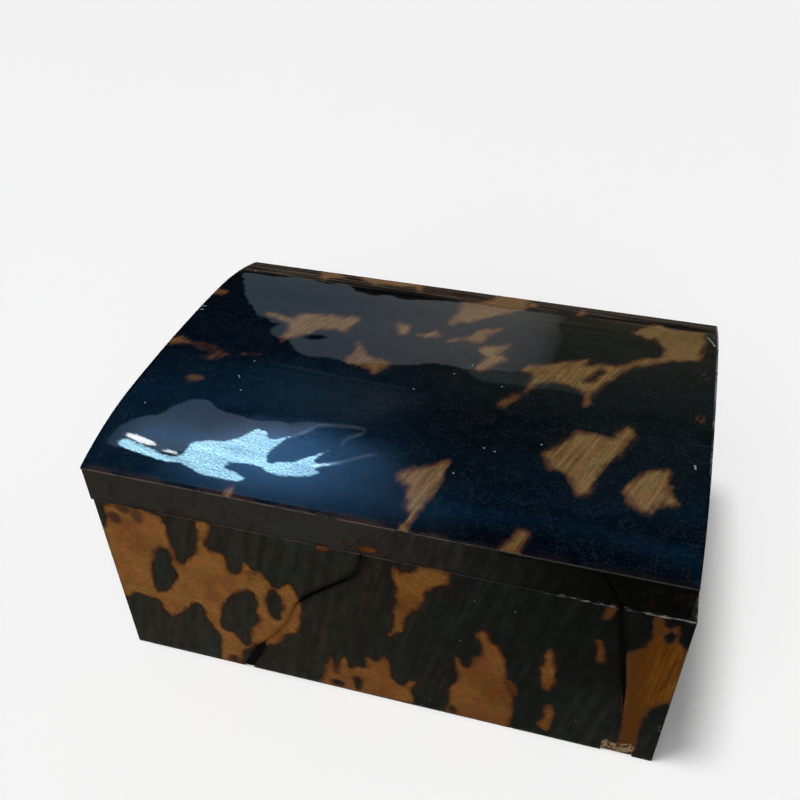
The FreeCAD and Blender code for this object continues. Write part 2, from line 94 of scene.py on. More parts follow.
FRONT_AMBER = [
    Island(0.96, CLEAR, [
        (-120.5, 93.6), (-120, 88), (-121, 82), (-123, 78.5), (-125.5, 77), (-125.5, 32), (-121, 35),
        (-117.5, 38), (-114, 37.5), (-111, 36), (-106.5, 36.5), (-104.8, 33), (-104, 27.5), (-102.5, 24.5),
        (-98.5, 28.5), (-94, 31.5), (-90, 37.5), (-86, 40.2), (-84, 38.5), (-82.5, 31), (-81, 25),
        (-78.5, 21), (-78, 16), (-79.5, 9), (-80, -1), (-70, -1), (-68.5, 8), (-66, 13.5), (-62, 16),
        (-60.5, 20.5), (-50, 21), (-47.5, 25), (-45, 29), (-42, 32.8), (-38.5, 34), (-36.5, 38),
        (-35.3, 46), (-34.3, 54), (-35, 58.5), (-36.7, 63), (-38.5, 66.5), (-41, 64.5), (-44, 61),
        (-48, 62), (-49.5, 66.5), (-51, 70), (-56, 71), (-57.5, 74.5), (-59.5, 70.5), (-62, 65.5),
        (-64.5, 64), (-66.8, 67), (-67.5, 72), (-68.5, 76.5), (-75, 77), (-76.5, 80.5), (-74.5, 85),
        (-72, 89.5), (-70.5, 93.6), (-78.2, 93.6), (-77.6, 86), (-79, 79.5), (-80.5, 75), (-83.5, 70.5),
        (-87, 65.8), (-89.5, 64), (-91.8, 68.5), (-92.8, 78), (-93.2, 86), (-94, 93.6)]),
    Island(0.68, CLEAR, [
        (-31, -1), (-28.5, 3), (-27, 8), (-25.5, 14), (-24, 19.5), (-23, 22.5), (-21.8, 19), (-21.5, 13),
        (-20.5, 9.5), (-19.5, 14), (-18, 20), (-16.5, 25), (-15, 24), (-14.5, 17), (-12, 17.5), (-10, 19.5),
        (-6, 19.5), (-5, 21), (-6.5, 25), (-6, 28.5), (-4, 28), (-2, 26.5), (0, 27.5), (2, 30), (3.3, 31),
        (4.8, 28), (5.3, 22), (5.8, 16), (8, 14), (11, 12.5), (13.5, 14.5), (16, 18.5), (17.2, 17.5),
        (15.5, 14.5), (14.5, 12.5), (15, 9), (16, 4), (15, -1)]),
    Island(0.5, CLEAR, [
        (18, 93.6), (31, 93.6), (31, 89), (30.5, 86), (27.5, 85), (24.5, 83.5), (22, 80.5), (20.5, 77),
        (19.5, 71.5), (18, 68), (15.5, 66), (13.5, 63), (12, 58), (11, 52.5), (9, 51), (7, 48.5), (5.3, 46),
        (6.5, 49.5), (7.8, 53), (8, 58), (8.5, 65), (9.2, 73), (9.3, 80), (8, 84.5), (7.5, 88), (8, 92),
        (9.5, 88.5), (11, 85.5), (12, 88), (14.5, 89), (16.5, 90.5)]),
    Island(0.46, CLEAR, [
        (32, -1), (32, 5), (33, 10), (33, 16), (34, 21.5), (36.5, 26), (37, 31), (36, 35), (35, 38.5),
        (35, 43.5), (36.5, 41), (38, 37.5), (39.8, 36), (41.5, 37.5), (42.8, 41), (43, 45), (45.3, 46),
        (46.3, 50), (45.8, 54.5), (43.8, 57.5), (44.2, 61), (45.3, 64), (47, 62.5), (48, 59), (50, 56.5),
        (52.5, 55), (54.5, 51), (55.5, 46), (56.5, 40), (57.3, 33), (58, 28.5), (60.5, 25), (61.5, 20),
        (61.8, 12), (61.5, 5), (61, -1)]),
    Island(0.4, CLEAR, [
        (73.5, 61.5), (72.5, 57), (72, 50), (72.3, 43), (73, 37), (74.5, 33), (76, 34), (77.3, 38.5),
        (77.5, 45), (76.8, 51), (75.5, 56), (74.5, 60)]),
    Island(0.4, CLEAR, [
        (77, 24.5), (75.5, 20), (75.8, 14), (75, 10.5), (73, 8.5), (75, 6.5), (77.5, 4), (79, 6),
        (78.5, 9.5), (79.3, 14), (79.8, 18), (78.3, 22)]),
    Island(0.1, 0.8, [(91.3, 73), (92.5, 68), (93, 62), (94, 59), (95.5, 62), (95, 66), (93.5, 71)]),
    Island(0.1, 0.1, [(93, 93.6), (92, 88), (92.5, 85.5), (94, 88), (95, 93.6)]),
    Island(-0.15, CLEAR, [
        (110, 92.5), (111, 88), (111.5, 82), (111, 76), (109.5, 73), (107, 72), (105, 70), (103.5, 66),
        (104.5, 60), (105.5, 53), (106, 47), (107, 40), (107.8, 33), (108.7, 26), (109, 18), (109.5, 10),
        (109.5, -1), (116.5, -1), (116.5, 9), (116, 15), (115.3, 22), (115.5, 28), (117, 33), (118, 37.5),
        (119.5, 40), (121.5, 43), (125.5, 44), (125.5, 75), (124, 77), (122, 79.5), (120.5, 81),
        (119.8, 84), (120, 88), (119.5, 91), (117.5, 88), (115.5, 87), (113.5, 89), (112.5, 92.5)]),
    Island(0.1, 0.9, oval(-21.2, 92.6, 2.4, 1.2)),
    Island(0.0, -1.8, [(-25, 88), (-27.5, 85), (-30, 79), (-31.5, 76), (-30, 82), (-27, 88)]),
    Island(0.0, 0.7, oval(-3, 96.8, 3.4, 1.1)),
    Island(0.1, -1.7, oval(-3, 98, 9, 3.6)),
    Island(0.0, -2.1, oval(-88, 100, 4, 2.5)),
    Island(0.1, -1.2, oval(-85, 95, 5, 1.2)),
    Island(0.1, 0.2, [(57, 34), (60, 33.5), (62.5, 28), (62, 24), (58.5, 25), (57.5, 29)]),
    Island(0.0, -2.3, oval(49, 103, 2.5, 5)),
    Island(0.0, -2.5, [
        (103, 97), (106, 103), (105, 109), (112, 110.5), (122, 110), (122.5, 97), (113, 95.5)]),
    Island(0.0, -2.3, [(-20, 92), (-24, 86), (-27, 78), (-24, 72), (-18, 76), (-14, 84), (-12, 92)]),
]
FRONT_DARK = [
    Shade(BLACK, [
        (-97, 73.5), (-93.8, 71), (-93.5, 62), (-92.8, 56), (-94.5, 50.5), (-98.5, 46), (-102.5, 42),
        (-106, 40.3), (-107.2, 42), (-106, 49), (-105.8, 58), (-103, 64), (-101, 70)]),
    Shade(BLACK, [
        (-58.5, 57.5), (-61, 56.5), (-64, 53.8), (-68.5, 51), (-71.5, 45.5), (-74, 39), (-76.3, 32),
        (-77.2, 27.5), (-75.5, 24.3), (-70.5, 23.8), (-68, 20.5), (-66.2, 15), (-63, 16), (-61.5, 21),
        (-61.2, 26), (-60.3, 30.5), (-56.8, 33.5), (-55.3, 38), (-55.8, 45), (-55.2, 51), (-56.5, 55.5)]),
    Shade(BLACK, [
        (-46.5, 62), (-49.5, 58.5), (-51.3, 52), (-51, 46), (-49.5, 41.5), (-47.5, 39.3), (-45.3, 42),
        (-43.5, 47), (-43, 53), (-44.5, 58.5)]),
    Shade(1.2, [
        (-60, 73), (-58, 66), (-56.5, 60), (-52, 57.5), (-48, 59), (-48.5, 64), (-50, 70), (-54, 73)]),
    Shade(-0.5, [(-77, -1), (-76, 4), (-72, 6), (-69.5, 4), (-69, -1)]),
    Shade(BLACK, oval(-20.5, 3.5, 3.5, 2.5)),
    Shade(BLACK, oval(-10.5, 6.5, 2.2, 5.5)),
    Shade(-1.2, oval(35, 3.5, 2.5, 3)),
    Shade(BLACK, oval(117.2, 82, 2.4, 4.6)),
]
# Soft red-brown stains in the amber of the front: place, half width, half height and strength.
FRONT_STAINS = [(-117, 85.5, 4.2, 4.6, 0.95), (-111, 92, 4.5, 3.6, 0.9), (-105.5, 89.5, 4.0, 6.0, 0.75)]
LID_AMBER = [
    Island(0.8, CLEAR, [
        (-92.9, 27.3), (-92.5, 28.6), (-85, 29), (-81.7, 27.8), (-77.5, 27.5), (-76.7, 32.3), (-73.3, 34.4),
        (-70, 33.6), (-63.3, 34.8), (-62, 36.5), (-60, 35.3), (-55, 35.3), (-50.8, 36.9), (-46.7, 36.5),
        (-46.3, 32.3), (-48.8, 28.2), (-49.2, 25.7), (-48.8, 23.2), (-50.8, 20.7), (-52.9, 21.5),
        (-56.7, 22.3), (-60, 21.9), (-62.5, 19.8), (-64.2, 16.5), (-66.7, 14), (-70.4, 10.7), (-73.3, 8.6),
        (-75, 6.5), (-76.3, 5), (-77.5, 8.2), (-76.7, 12.3), (-76.7, 16.5), (-77.9, 20.7), (-80.8, 22.8),
        (-84.6, 24.4), (-89.2, 25.3)]),
    Island(0.5, CLEAR, [
        (-40.4, 15.7), (-41.3, 12.3), (-39.8, 6), (-40.8, 3.3), (-41.3, -1.7), (-40, -3.8), (-35, -3.8),
        (-31.3, -4.6), (-28.3, -6.3), (-26.3, -8.3), (-24.2, -6.7), (-22.9, -3.3), (-21.3, 0), (-20.8, 2),
        (-25, 2.5), (-27.9, 3.8), (-31.3, 5), (-34.2, 6.3), (-35.8, 9.2), (-38, 13)]),
    Island(0.7, CLEAR, [
        (-27.9, 38.6), (-26.3, 36.5), (-21.7, 36.5), (-20.8, 34), (-20.4, 29.8), (-21.3, 27.3),
        (-24.2, 26.5), (-25.8, 28.2), (-25.8, 30.7), (-27.5, 34)]),
    Island(0.7, CLEAR, [
        (-10, 33.2), (-7.5, 35.3), (-5.8, 34), (-4.2, 30.7), (-7.5, 29.8), (-10, 28.2), (-13.3, 27.8),
        (-17, 28.5), (-14.2, 29.8), (-11.7, 31.9)]),
    Island(0.7, CLEAR, [
        (-0.8, 26.1), (0, 29), (3.3, 31), (7.5, 33.2), (9.6, 36.5), (10.8, 40.7), (14.2, 43.6),
        (19.2, 45.7), (21.3, 47.3), (21.7, 44.8), (19.6, 42.3), (17.5, 38.2), (16.3, 34), (14.6, 30.7),
        (11.7, 29.4), (7.5, 30.3), (4.2, 29.4), (1.3, 27.3)]),
    Island(0.8, CLEAR, [
        (27.5, 33.6), (25.4, 30.7), (22.5, 29.4), (19.2, 28.6), (15.8, 27.3), (15, 24), (16.7, 20.7),
        (19.6, 19.4), (19.2, 15.7), (17.9, 11.5), (16.7, 8.2), (19.2, 5.7), (21.7, 8.2), (24.2, 11.9),
        (26.7, 15.7), (29.2, 19.8), (27, 21.5), (24, 22), (25.8, 24), (27.1, 28.2), (27.9, 31.5)]),
    Island(0.58, CLEAR, [
        (-4.2, 42.3), (-5, 45.3), (-3.8, 49.8), (-2.9, 54.8), (-2.5, 60.7), (-3.3, 65.7), (-4.2, 69.8),
        (-1.7, 71), (1.7, 71.5), (5, 75.3), (8.3, 79), (10, 84), (10.4, 89), (11, 93), (27, 93), (30, 86),
        (33.3, 81.5), (33.3, 79.8), (30.4, 78.2), (28.8, 74.8), (27.9, 70.7), (25, 68.2), (21.7, 64.8),
        (18.3, 60.7), (14.2, 56.5), (9.6, 53.2), (6.7, 49.4), (4.2, 47.3), (0.8, 46), (-1.3, 44.4),
        (-2.5, 41.9)]),
    Island(0.74, CLEAR, [
        (82.5, 63.2), (84.6, 67.8), (86.7, 70.7), (90, 74), (92.1, 77.8), (94.2, 78.6), (96.3, 76.9),
        (97.5, 73.6), (100, 72.8), (108.3, 74), (113.3, 74.8), (115.8, 74.4), (115.4, 69.8), (117, 65),
        (116.7, 60.7), (115.4, 56.5), (115, 50.7), (114.6, 44.8), (113.3, 41.9), (110, 41.9), (107.5, 40.7),
        (104.2, 39.4), (100.8, 38.6), (97.5, 36.5), (94.2, 34.4), (90.8, 31.5), (86.7, 30.3), (85, 28.2),
        (82.9, 24.8), (80, 20.7), (77.5, 16.5), (75.4, 12.3), (73.3, 8.2), (70.8, 3.2), (69.6, 0.8),
        (70, -2.5), (70.8, -5), (69.5, -8), (68.3, -7.5), (67.9, -4.2), (67.1, -0.4), (65.8, 2.5),
        (63.3, 5.4), (60, 7.1), (56.7, 7.5), (52.5, 6.7), (48.3, 5.4), (45.8, 3.8), (44.2, 0.8),
        (42.9, -2.5), (41.3, -5), (41.7, -0.8), (42.9, 3.3), (43.3, 7.3), (42.1, 9.4), (39.2, 11.9),
        (37.1, 12.8), (38.8, 15.3), (41.3, 18.6), (45.8, 19), (49.2, 21.5), (53.3, 24.4), (57.5, 26),
        (61.7, 28.6), (65, 29.8), (65.4, 28.2), (64, 24.5), (67.9, 24.8), (70, 26.9), (74.2, 28.2),
        (78.3, 27.3), (81.7, 29.4), (85, 33.6), (88.3, 37.3), (91.7, 39), (95, 40.3), (97.1, 42.3),
        (97.9, 45.7), (97.1, 49.8), (95.8, 54), (94.2, 58.2), (92.5, 59), (90.8, 56.5), (88.3, 58.2),
        (85.8, 59.8), (83.3, 60.7)]),
    Island(0.5, CLEAR, [
        (40.3, -5.8), (38, -7.6), (35.8, -10.5), (33.6, -13), (33, -15.8), (34.5, -16.8), (36, -14),
        (38.5, -11), (40.8, -7.8)]),
    Island(0.75, CLEAR, [
        (87.9, -16.7), (90.4, -18.8), (90.4, -22.5), (88.3, -27.5), (87.1, -33.3), (84.6, -37.5),
        (82.1, -42.5), (80, -47.5), (78.8, -52.5), (77.5, -58.3), (74.6, -62.1), (72.1, -60.8),
        (70.8, -56.7), (68.3, -53.3), (65.4, -50.8), (61.7, -51.3), (59.6, -49.2), (58.3, -45),
        (56.7, -42.1), (59.2, -39.2), (62.5, -35.4), (65.4, -30.8), (66.7, -26.7), (68.3, -24.6),
        (70.8, -25), (74.2, -24.2), (78.3, -25.4), (81.3, -25.8), (84.2, -22.1), (86.7, -17.9)]),
    Island(0.95, CLEAR, [
        (105.8, -39.2), (107.1, -40.4), (106.7, -45), (107.5, -50), (108.3, -54.2), (112, -57),
        (108.3, -57.5), (105, -59.2), (102.5, -62.5), (100, -64.6), (96.7, -62.9), (93.3, -60.8),
        (91.7, -57.1), (89.2, -55.4), (90.8, -51.7), (94.2, -47.5), (97.5, -43.3), (100.8, -40.4),
        (104.2, -40)]),
    Island(1.0, CLEAR, [
        (21.3, -53.8), (20, -56.7), (17.5, -57.9), (15, -59.6), (10, -62.5), (5.8, -64.6), (2.1, -67.5),
        (3.3, -69.6), (7.5, -71.7), (9.2, -75.8), (10.4, -80.8), (12.5, -84.2), (12.1, -87.5), (10.4, -90),
        (10.4, -92.5), (14.6, -92.5), (14.6, -89.2), (15, -85.8), (16.3, -80.8), (18.3, -75), (20.4, -69.2),
        (21.3, -64.2), (20.8, -60)]),
    Island(0.75, CLEAR, [
        (56.7, -82.1), (58.3, -83.3), (57.5, -87.1), (56.7, -90), (57, -92.5), (48.8, -92.5), (50, -90),
        (52.9, -86.7), (55, -83.3)]),
    Island(0.6, CLEAR, [
        (-127, -5.5), (-122, -4), (-118.5, -5), (-115, -7), (-118.5, -8.5), (-122.5, -9.4), (-127, -10.4)]),
    Island(0.6, 0.6, [(-106, -32), (-103, -30), (-99, -31), (-97, -32), (-100, -33.6), (-104, -33.6)]),
    Island(0.9, 1.2, [(-127, 44), (-122, 44.6), (-119.6, 42.6), (-122, 39.4), (-127, 39)]),
    Island(0.6, CLEAR, [(-64, -92.5), (-63.3, -88.3), (-60.8, -87), (-58.3, -89), (-59, -92.5)]),
    Island(0.5, CLEAR, [
        (-88, 93), (-86, 86), (-84, 80), (-81.5, 75), (-80, 73), (-79, 76), (-77, 80), (-72, 83), (-70, 86),
        (-74, 88), (-79, 93)]),
    Island(0.85, CLEAR, [
        (-67, 93), (-64, 87), (-60, 82.5), (-55, 79), (-50, 79.5), (-46, 82), (-42, 81.5), (-38, 83),
        (-33, 86), (-30, 80), (-27.5, 74), (-28, 84), (-30, 93)]),
    Island(0.5, CLEAR, [(56, 88), (58, 82), (57.5, 76), (55.5, 73.5), (54, 76), (54.5, 83)]),
    Island(0.1, -1.5, [(-28, 93), (-26, 76), (-12, 73), (0, 74), (8, 82), (10, 93)]),
    Island(0.2, -1.2, [(-117, -5.5), (-108, -6.5), (-98, -10), (-103, -11.5), (-112, -9)]),
    Island(0.3, -0.7, band([(-105, -16), (-100, -14.2), (-94, -11)], 2.4)),
    Island(0.3, -1.0, band([(-89, -9.5), (-82, -7.5)], 1.8)),
    Island(0.0, -0.9, oval(116, -3, 1.3, 1.6)),
    Island(0.0, -1.0, oval(117.5, 30, 1.4, 2)),
]
LID_DARK = [
    Shade(-1.0, [(65, 9.5), (68, 11.5), (71, 15), (74, 20.5), (73, 23), (69.5, 19.5), (66.5, 14.5)]),
    Shade(2.0, band([(47, 9), (52, 14), (57, 20)], 7.0)),
    Shade(0.4, band([(28, 91), (27.5, 82), (28.5, 72)], 2.0)),
]

# Bright specks of dust and old paint, and scratches from one place to another, as in the outlines above.
FRONT_SPECKS = [(41.5, 80.5), (58, 79), (24, 7), (89.5, 17), (104, 108), (106, 109.5), (36.5, 54)]
LID_SPECKS = [(-118.5, 74), (-118, 73), (-115.3, -53.5), (-83.5, -25.5), (-82.8, -26.5), (-81.3, -13),
              (15.2, 10.5), (9, 1.5), (31.5, -2.5), (55, -37), (24.3, -61.8), (-5.5, -14.5), (-78.5, -35),
              (33, -45), (37.5, -46), (120.3, 71)]
LID_SCRATCHES = [((-125.2, 25.8), (-124, 26)), ((-125, 22.4), (-123.8, 22.6)), ((115.7, -34), (116.1, -36)),
                 ((117.3, 69.5), (119.3, 64.5)), ((119.3, 64.5), (120.6, 60))]
LID_HAIRLINES = [((104, 11), (121.5, 13)), ((112, -20), (120, -21)), ((96, -46), (110, -49))]

# What the lid mirrors in the photograph: where each reflection lies on the lid, X with Y in mm.
WINDOW_IMAGE = [
    (-124.5, 69), (-118, 70), (-110, 69.5), (-100, 71.5), (-90, 73), (-80, 70), (-72, 71), (-66, 72),
    (-62, 69), (-58, 66), (-50, 63), (-45, 65), (-40, 66), (-36, 63.5), (-30, 63.5), (-25, 66), (-17, 68),
    (-8, 70.5), (10, 71), (28, 72), (44, 72), (50, 71), (49.5, 65), (48, 58), (49, 52), (51, 46), (52, 40),
    (51, 33), (51, 27), (50, 20), (44, 13), (28, 8), (15, 8), (12, 4), (10, 6.5), (0, 7), (-6, 5), (-12, 3),
    (-19, 1), (-30, -2), (-40, -4), (-45, -2), (-52, -2.5), (-60, -3.5), (-64, -3), (-68, 0), (-70.5, 4),
    (-73, 8), (-78, 8), (-83, 10), (-87, 14), (-83, 18), (-81, 20), (-88, 21), (-93, 23), (-97, 25.5),
    (-101, 30), (-105, 35), (-109, 40), (-113, 46), (-116, 52), (-120, 60)]
HAZE_IMAGE = [
    (-122.5, -78.5), (-121.5, -73), (-119, -67), (-115.5, -62.5), (-110, -59.5), (-105.5, -58),
    (-103.5, -54), (-101, -50), (-97, -46.5), (-92, -45), (-87, -45.5), (-85, -48), (-81, -50), (-75, -50),
    (-70, -51), (-64, -52), (-57, -50.5), (-50, -49.5), (-42, -47.5), (-37, -47), (-28, -47.5),
    (-21, -45.5), (-20, -47), (-28, -48.8), (-37, -49), (-38, -52), (-41, -56), (-46, -60), (-56, -64),
    (-66, -68), (-85, -76), (-100, -79.5), (-115, -80.5)]
GLARE_IMAGE = [
    (-117, -77.5), (-114.5, -74), (-110, -75), (-104, -76), (-96, -78), (-90, -78.5), (-87, -77),
    (-86, -74), (-85.5, -71.5), (-84, -69.5), (-79, -67.5), (-73, -67), (-69, -65), (-66, -62),
    (-63.5, -59), (-62, -56.5), (-59, -57), (-56.5, -57.5), (-55.5, -60), (-54, -61.5), (-51.5, -61),
    (-50, -60), (-46, -57.5), (-43, -56.3), (-46, -58.5), (-48.5, -61), (-49.5, -64), (-51, -67),
    (-51.5, -70), (-50.5, -72.5), (-49, -73.5), (-46.5, -71.5), (-44, -71), (-41, -71), (-38, -69),
    (-35.5, -67), (-32.5, -65), (-29, -61.5), (-25.5, -59), (-28.5, -63), (-31, -66.5), (-32.5, -68.5),
    (-30, -69.5), (-26, -68.5), (-21, -66.5), (-24, -69), (-28, -70.5), (-31, -72), (-27, -73.5),
    (-30, -75.5), (-33, -77), (-38, -78), (-44, -78.5), (-49, -78), (-53, -76.5), (-57, -76), (-61, -76.5),
    (-67, -77), (-64, -78.5), (-67.5, -79), (-62, -80), (-58, -81.5), (-55.5, -82.5), (-58, -84.5),
    (-64, -85), (-71, -85), (-76, -84.5), (-81, -83), (-86, -81.5), (-91, -82.2), (-96, -81.9), (-102, -81),
    (-108, -80.3), (-113, -79.6)]
LAMP_IMAGE = [
    (-115.6, -72.2), (-112, -71), (-107.3, -72), (-102.2, -73), (-98.8, -74.4), (-99.5, -75.8),
    (-103.2, -76.1), (-107.7, -75.3), (-111.5, -74.2), (-114.6, -73.3)]
LAMP_END_IMAGE = [
    (-96.6, -76.6), (-94.1, -75.6), (-91.3, -75.8), (-88.4, -76.7), (-88.2, -78), (-91.3, -78.2),
    (-94.4, -77.9)]
POOL_IMAGE = [
    (-118, -74), (-112, -66), (-102, -60), (-90, -60), (-80, -62), (-72, -66), (-80, -72), (-92, -76),
    (-106, -78)]
GLOW_IMAGE = [
    (-108, -84), (-84, -54), (-60, -45), (-30, -43), (0, -48), (28, -58), (46, -76), (48, -100), (20, -114),
    (-60, -114), (-104, -106)]
SILL_IMAGE = [
    (12, 10), (13, 4), (18, 0), (26, -1.5), (36, -0.5), (44, -1), (52, 0), (60, 1), (67, -1), (66, 6),
    (60, 9), (48, 10), (36, 12), (24, 12)]
CLOUD_IMAGE = [
    (-92, -10), (-60, -6), (-20, -8), (2, -14), (8, -24), (-4, -40), (-22, -54), (-60, -56), (-92, -48),
    (-100, -30)]
MIST_IMAGE = [(56, -20), (78, -6), (124, -4), (134, -40), (126, -74), (88, -76), (60, -66), (48, -42)]
RIDGE_IMAGE = band([(-88, -11), (-60, -13), (-35, -14.5), (-10, -15), (22, -17)], 3.0)
LOOP_IMAGE = band([
    (-46, -58.9), (-42.5, -55.5), (-39.4, -52), (-36.5, -48.4), (-31, -47), (-24, -46.4), (-17.6, -46.2),
    (-17.2, -48.4), (-20, -51), (-23, -53.4), (-24.3, -56.5), (-24, -61)], 3.4)
RIPPLE_IMAGE = band([
    (-34, -71.8), (-31, -70.8), (-26, -68.9), (-20.6, -66.6), (-15.3, -62.6), (-10.1, -60.1),
    (-5.2, -57.6)], 2.6)
STRAND_IMAGE = band([(-41, -71.5), (-37, -69.4), (-33, -66.4), (-29.5, -63.6), (-27, -61.5)], 1.9)
WINDOW_HOLE = [(-71, 10.5), (-66, 13.5), (-60, 15.5), (-54, 15.7), (-55, 13), (-60, 11.5), (-65, 10)]

# A panel lights one of these images, from a reach in metres. Its edge has a softness, a fine raggedness and
# a slow wander, in mm. Grain is how far its light varies. Its fade is two places along Y and the strengths
# there, and its colour, linear, runs along X.
Panel = namedtuple("Panel", "name reach image edge grain fade colours")
PANELS = [
    Panel("window", 1.60, WINDOW_IMAGE, (1.3, 2.2, 9.0), 0.15, (25, 75, 1.05, 0.62), [
        (-110, (0.24, 0.36, 0.45)), (-70, (0.30, 0.38, 0.46)), (-30, (0.38, 0.42, 0.50)),
        (5, (0.43, 0.43, 0.46)), (28, (0.40, 0.40, 0.44)), (42, (0.27, 0.27, 0.30)),
        (51, (0.05, 0.05, 0.06))]),
    Panel("sill", 1.60, SILL_IMAGE, (2.0, 2.0, 5.0), 0.1, (0, 10, 1.0, 1.0), [
        (10, (0.18, 0.23, 0.21)), (60, (0.10, 0.12, 0.10))]),
    Panel("cloud", 1.65, CLOUD_IMAGE, (16.0, 2.0, 16.0), 0.6, (-50, -10, 1.0, 1.0), [
        (-90, (0.0, 0.02, 0.03)), (-55, (0.05, 0.10, 0.13)), (-10, (0.11, 0.12, 0.12))]),
    Panel("mist", 1.65, MIST_IMAGE, (16.0, 2.0, 16.0), 0.5, (-70, -10, 1.0, 1.0), [
        (55, (0.04, 0.04, 0.03)), (120, (0.012, 0.035, 0.04))]),
    Panel("ridge", 1.60, RIDGE_IMAGE, (1.5, 0.8, 2.0), 0.2, (-50, -10, 1.0, 1.0), [
        (-60, (0.09, 0.12, 0.14)), (20, (0.05, 0.06, 0.06))]),
    Panel("glow", 1.70, GLOW_IMAGE, (22.0, 4.0, 14.0), 0.12, (-92, -76, 0.3, 1.0), [
        (-100, (0.08, 0.30, 0.60)), (-86, (0.28, 0.80, 1.70)), (-68, (0.52, 1.50, 3.00)),
        (-50, (0.66, 1.85, 3.90)), (-35, (0.54, 1.55, 3.40)), (-15, (0.30, 0.84, 1.80)),
        (5, (0.16, 0.36, 0.72)), (25, (0.05, 0.13, 0.26)), (45, (0.0, 0.02, 0.05))]),
    Panel("haze", 1.60, HAZE_IMAGE, (1.3, 1.2, 4.0), 0.12, (-74, -48, 1.8, 0.9), [
        (-123, (0.10, 0.20, 0.34)), (-108, (0.44, 0.70, 1.00)), (-80, (0.48, 0.70, 1.05)),
        (-64, (0.72, 0.78, 1.14)), (-20, (0.46, 0.54, 0.72))]),
    Panel("pool", 1.62, POOL_IMAGE, (7.0, 2.0, 8.0), 0.3, (-74, -48, 1.0, 0.8), [
        (-115, (0.0, 0.35, 1.10)), (-75, (0.0, 0.25, 0.80))]),
    Panel("loop", 1.55, LOOP_IMAGE, (1.7, 0.5, 0.6), 0.3, (-66, -46, 1.0, 1.0), [
        (-46, (1.60, 2.20, 2.70)), (-39, (0.60, 0.76, 0.96)), (-30, (0.45, 0.54, 0.68)),
        (-17, (0.62, 0.74, 0.90))]),
    Panel("ripple", 1.55, RIPPLE_IMAGE, (1.4, 0.5, 0.4), 0.3, (-66, -46, 1.0, 1.0), [
        (-33, (9.0, 15.0, 19.0)), (-26, (5.0, 8.0, 10.0)), (-20, (1.00, 1.20, 1.50)),
        (-6, (0.60, 0.66, 0.80))]),
    Panel("strand", 1.55, STRAND_IMAGE, (1.2, 1.6, 0.6), 0.8, (-66, -46, 1.0, 1.0), [
        (-40, (8.0, 13.0, 16.0)), (-34, (2.60, 4.00, 5.00)), (-27, (0.80, 1.00, 1.30))]),
    Panel("glare", 1.50, GLARE_IMAGE, (0.9, 2.2, 2.0), 0.85, (-85, -60, 1.0, 0.95), [
        (-115, (10.5, 19.5, 24.0)), (-30, (10.5, 19.0, 24.0))]),
    Panel("lamp", 1.40, LAMP_IMAGE, (0.8, 2.0, 1.0), 0.45, (-78, -70, 1.0, 1.0), [
        (-115, (20.0, 20.0, 19.5)), (-98, (20.0, 21.0, 21.0))]),
    Panel("lamp_end", 1.40, LAMP_END_IMAGE, (0.8, 2.4, 1.0), 0.5, (-78, -70, 1.0, 1.0), [
        (-97, (20.0, 21.0, 22.0)), (-88, (20.0, 21.0, 22.0))]),
]
# Grid of a panel, how far it goes past its image, and how far the window reaches into its hole, in mm.
PANEL_SPACING = 1.0
PANEL_MARGIN = 3.0
HOLE_BLUR = 1.0

# Where the shell of the far faces starts on the outlines above, in mm, and the stretch of the right end.
BACK_START = (18, 96)
LEFT_START = (60, -38)
RIGHT_START = -70
RIGHT_STRETCH = 0.9
# How fast stains gain strength from their edge, and a length that stands in for none.
STAIN_FALL = 2.2
TINY = 1e-9

# Planes of the front veneer and of the boards' outer faces, in mm from the middle; the front lies at -Y.
FRONT_PLANE = -92
FRONT_BOARD = 90.8
BACK_BOARD = 91.2

# Spacing of the grids that carry the mottling, ease of the edges, and thickness of the sheet, in mm.
FRONT_SPACING = 1.25
LID_SPACING = 1.4
FAR_SPACING = 2.5
EDGE_EASE = 0.12
ARRIS_EASE = 0.3
SHEET_THICKNESS = 0.8
# Places across a rounded arris, as shares of its ease.
ARRIS_STEPS = (0.0, 0.12, 0.45)
# Angles in degrees: faces that meet at less become one, and edges with more are eased, or shaded as sharp.
FLAT_ANGLE = 1
EASED_ANGLE = 40
SHADED_ANGLE = 35
# Gaps in metres within which points are merged, and within which a cut takes a point as its own.
MERGE_GAP = 1e-6
CUT_GAP = 1e-7
# Least shares of normals: along a plate's axis on its broad faces, and along Z on its edges and on the lid.
FACE_SHARE = 0.6
EDGE_SHARE = 0.95
TOP_SHARE = 0.5
# The hinge's axis, Y and Z in mm. Edges within this reach of it stay sharp, so that the lid opens clear.
HINGE_AXIS = (89.5, 93.5)
HINGE_REACH = 4.0

# Slots of a plate's edges and of its walls; where joints stand open, along X in mm; the top of the chip.
EDGE, WALL = 1, 2
OPEN_JOINTS = {"base": (-118, 118), "lid": (50, 118)}
CHIP_TOP = 10.0

# Hand polishing leaves the lid gently wavy: depth and length of the waves, in mm, and how much closer they
# lie from front to back.
WAVE_DEPTH = 0.012
WAVE_LENGTH = 30.0
WAVE_STRETCH = 1.3

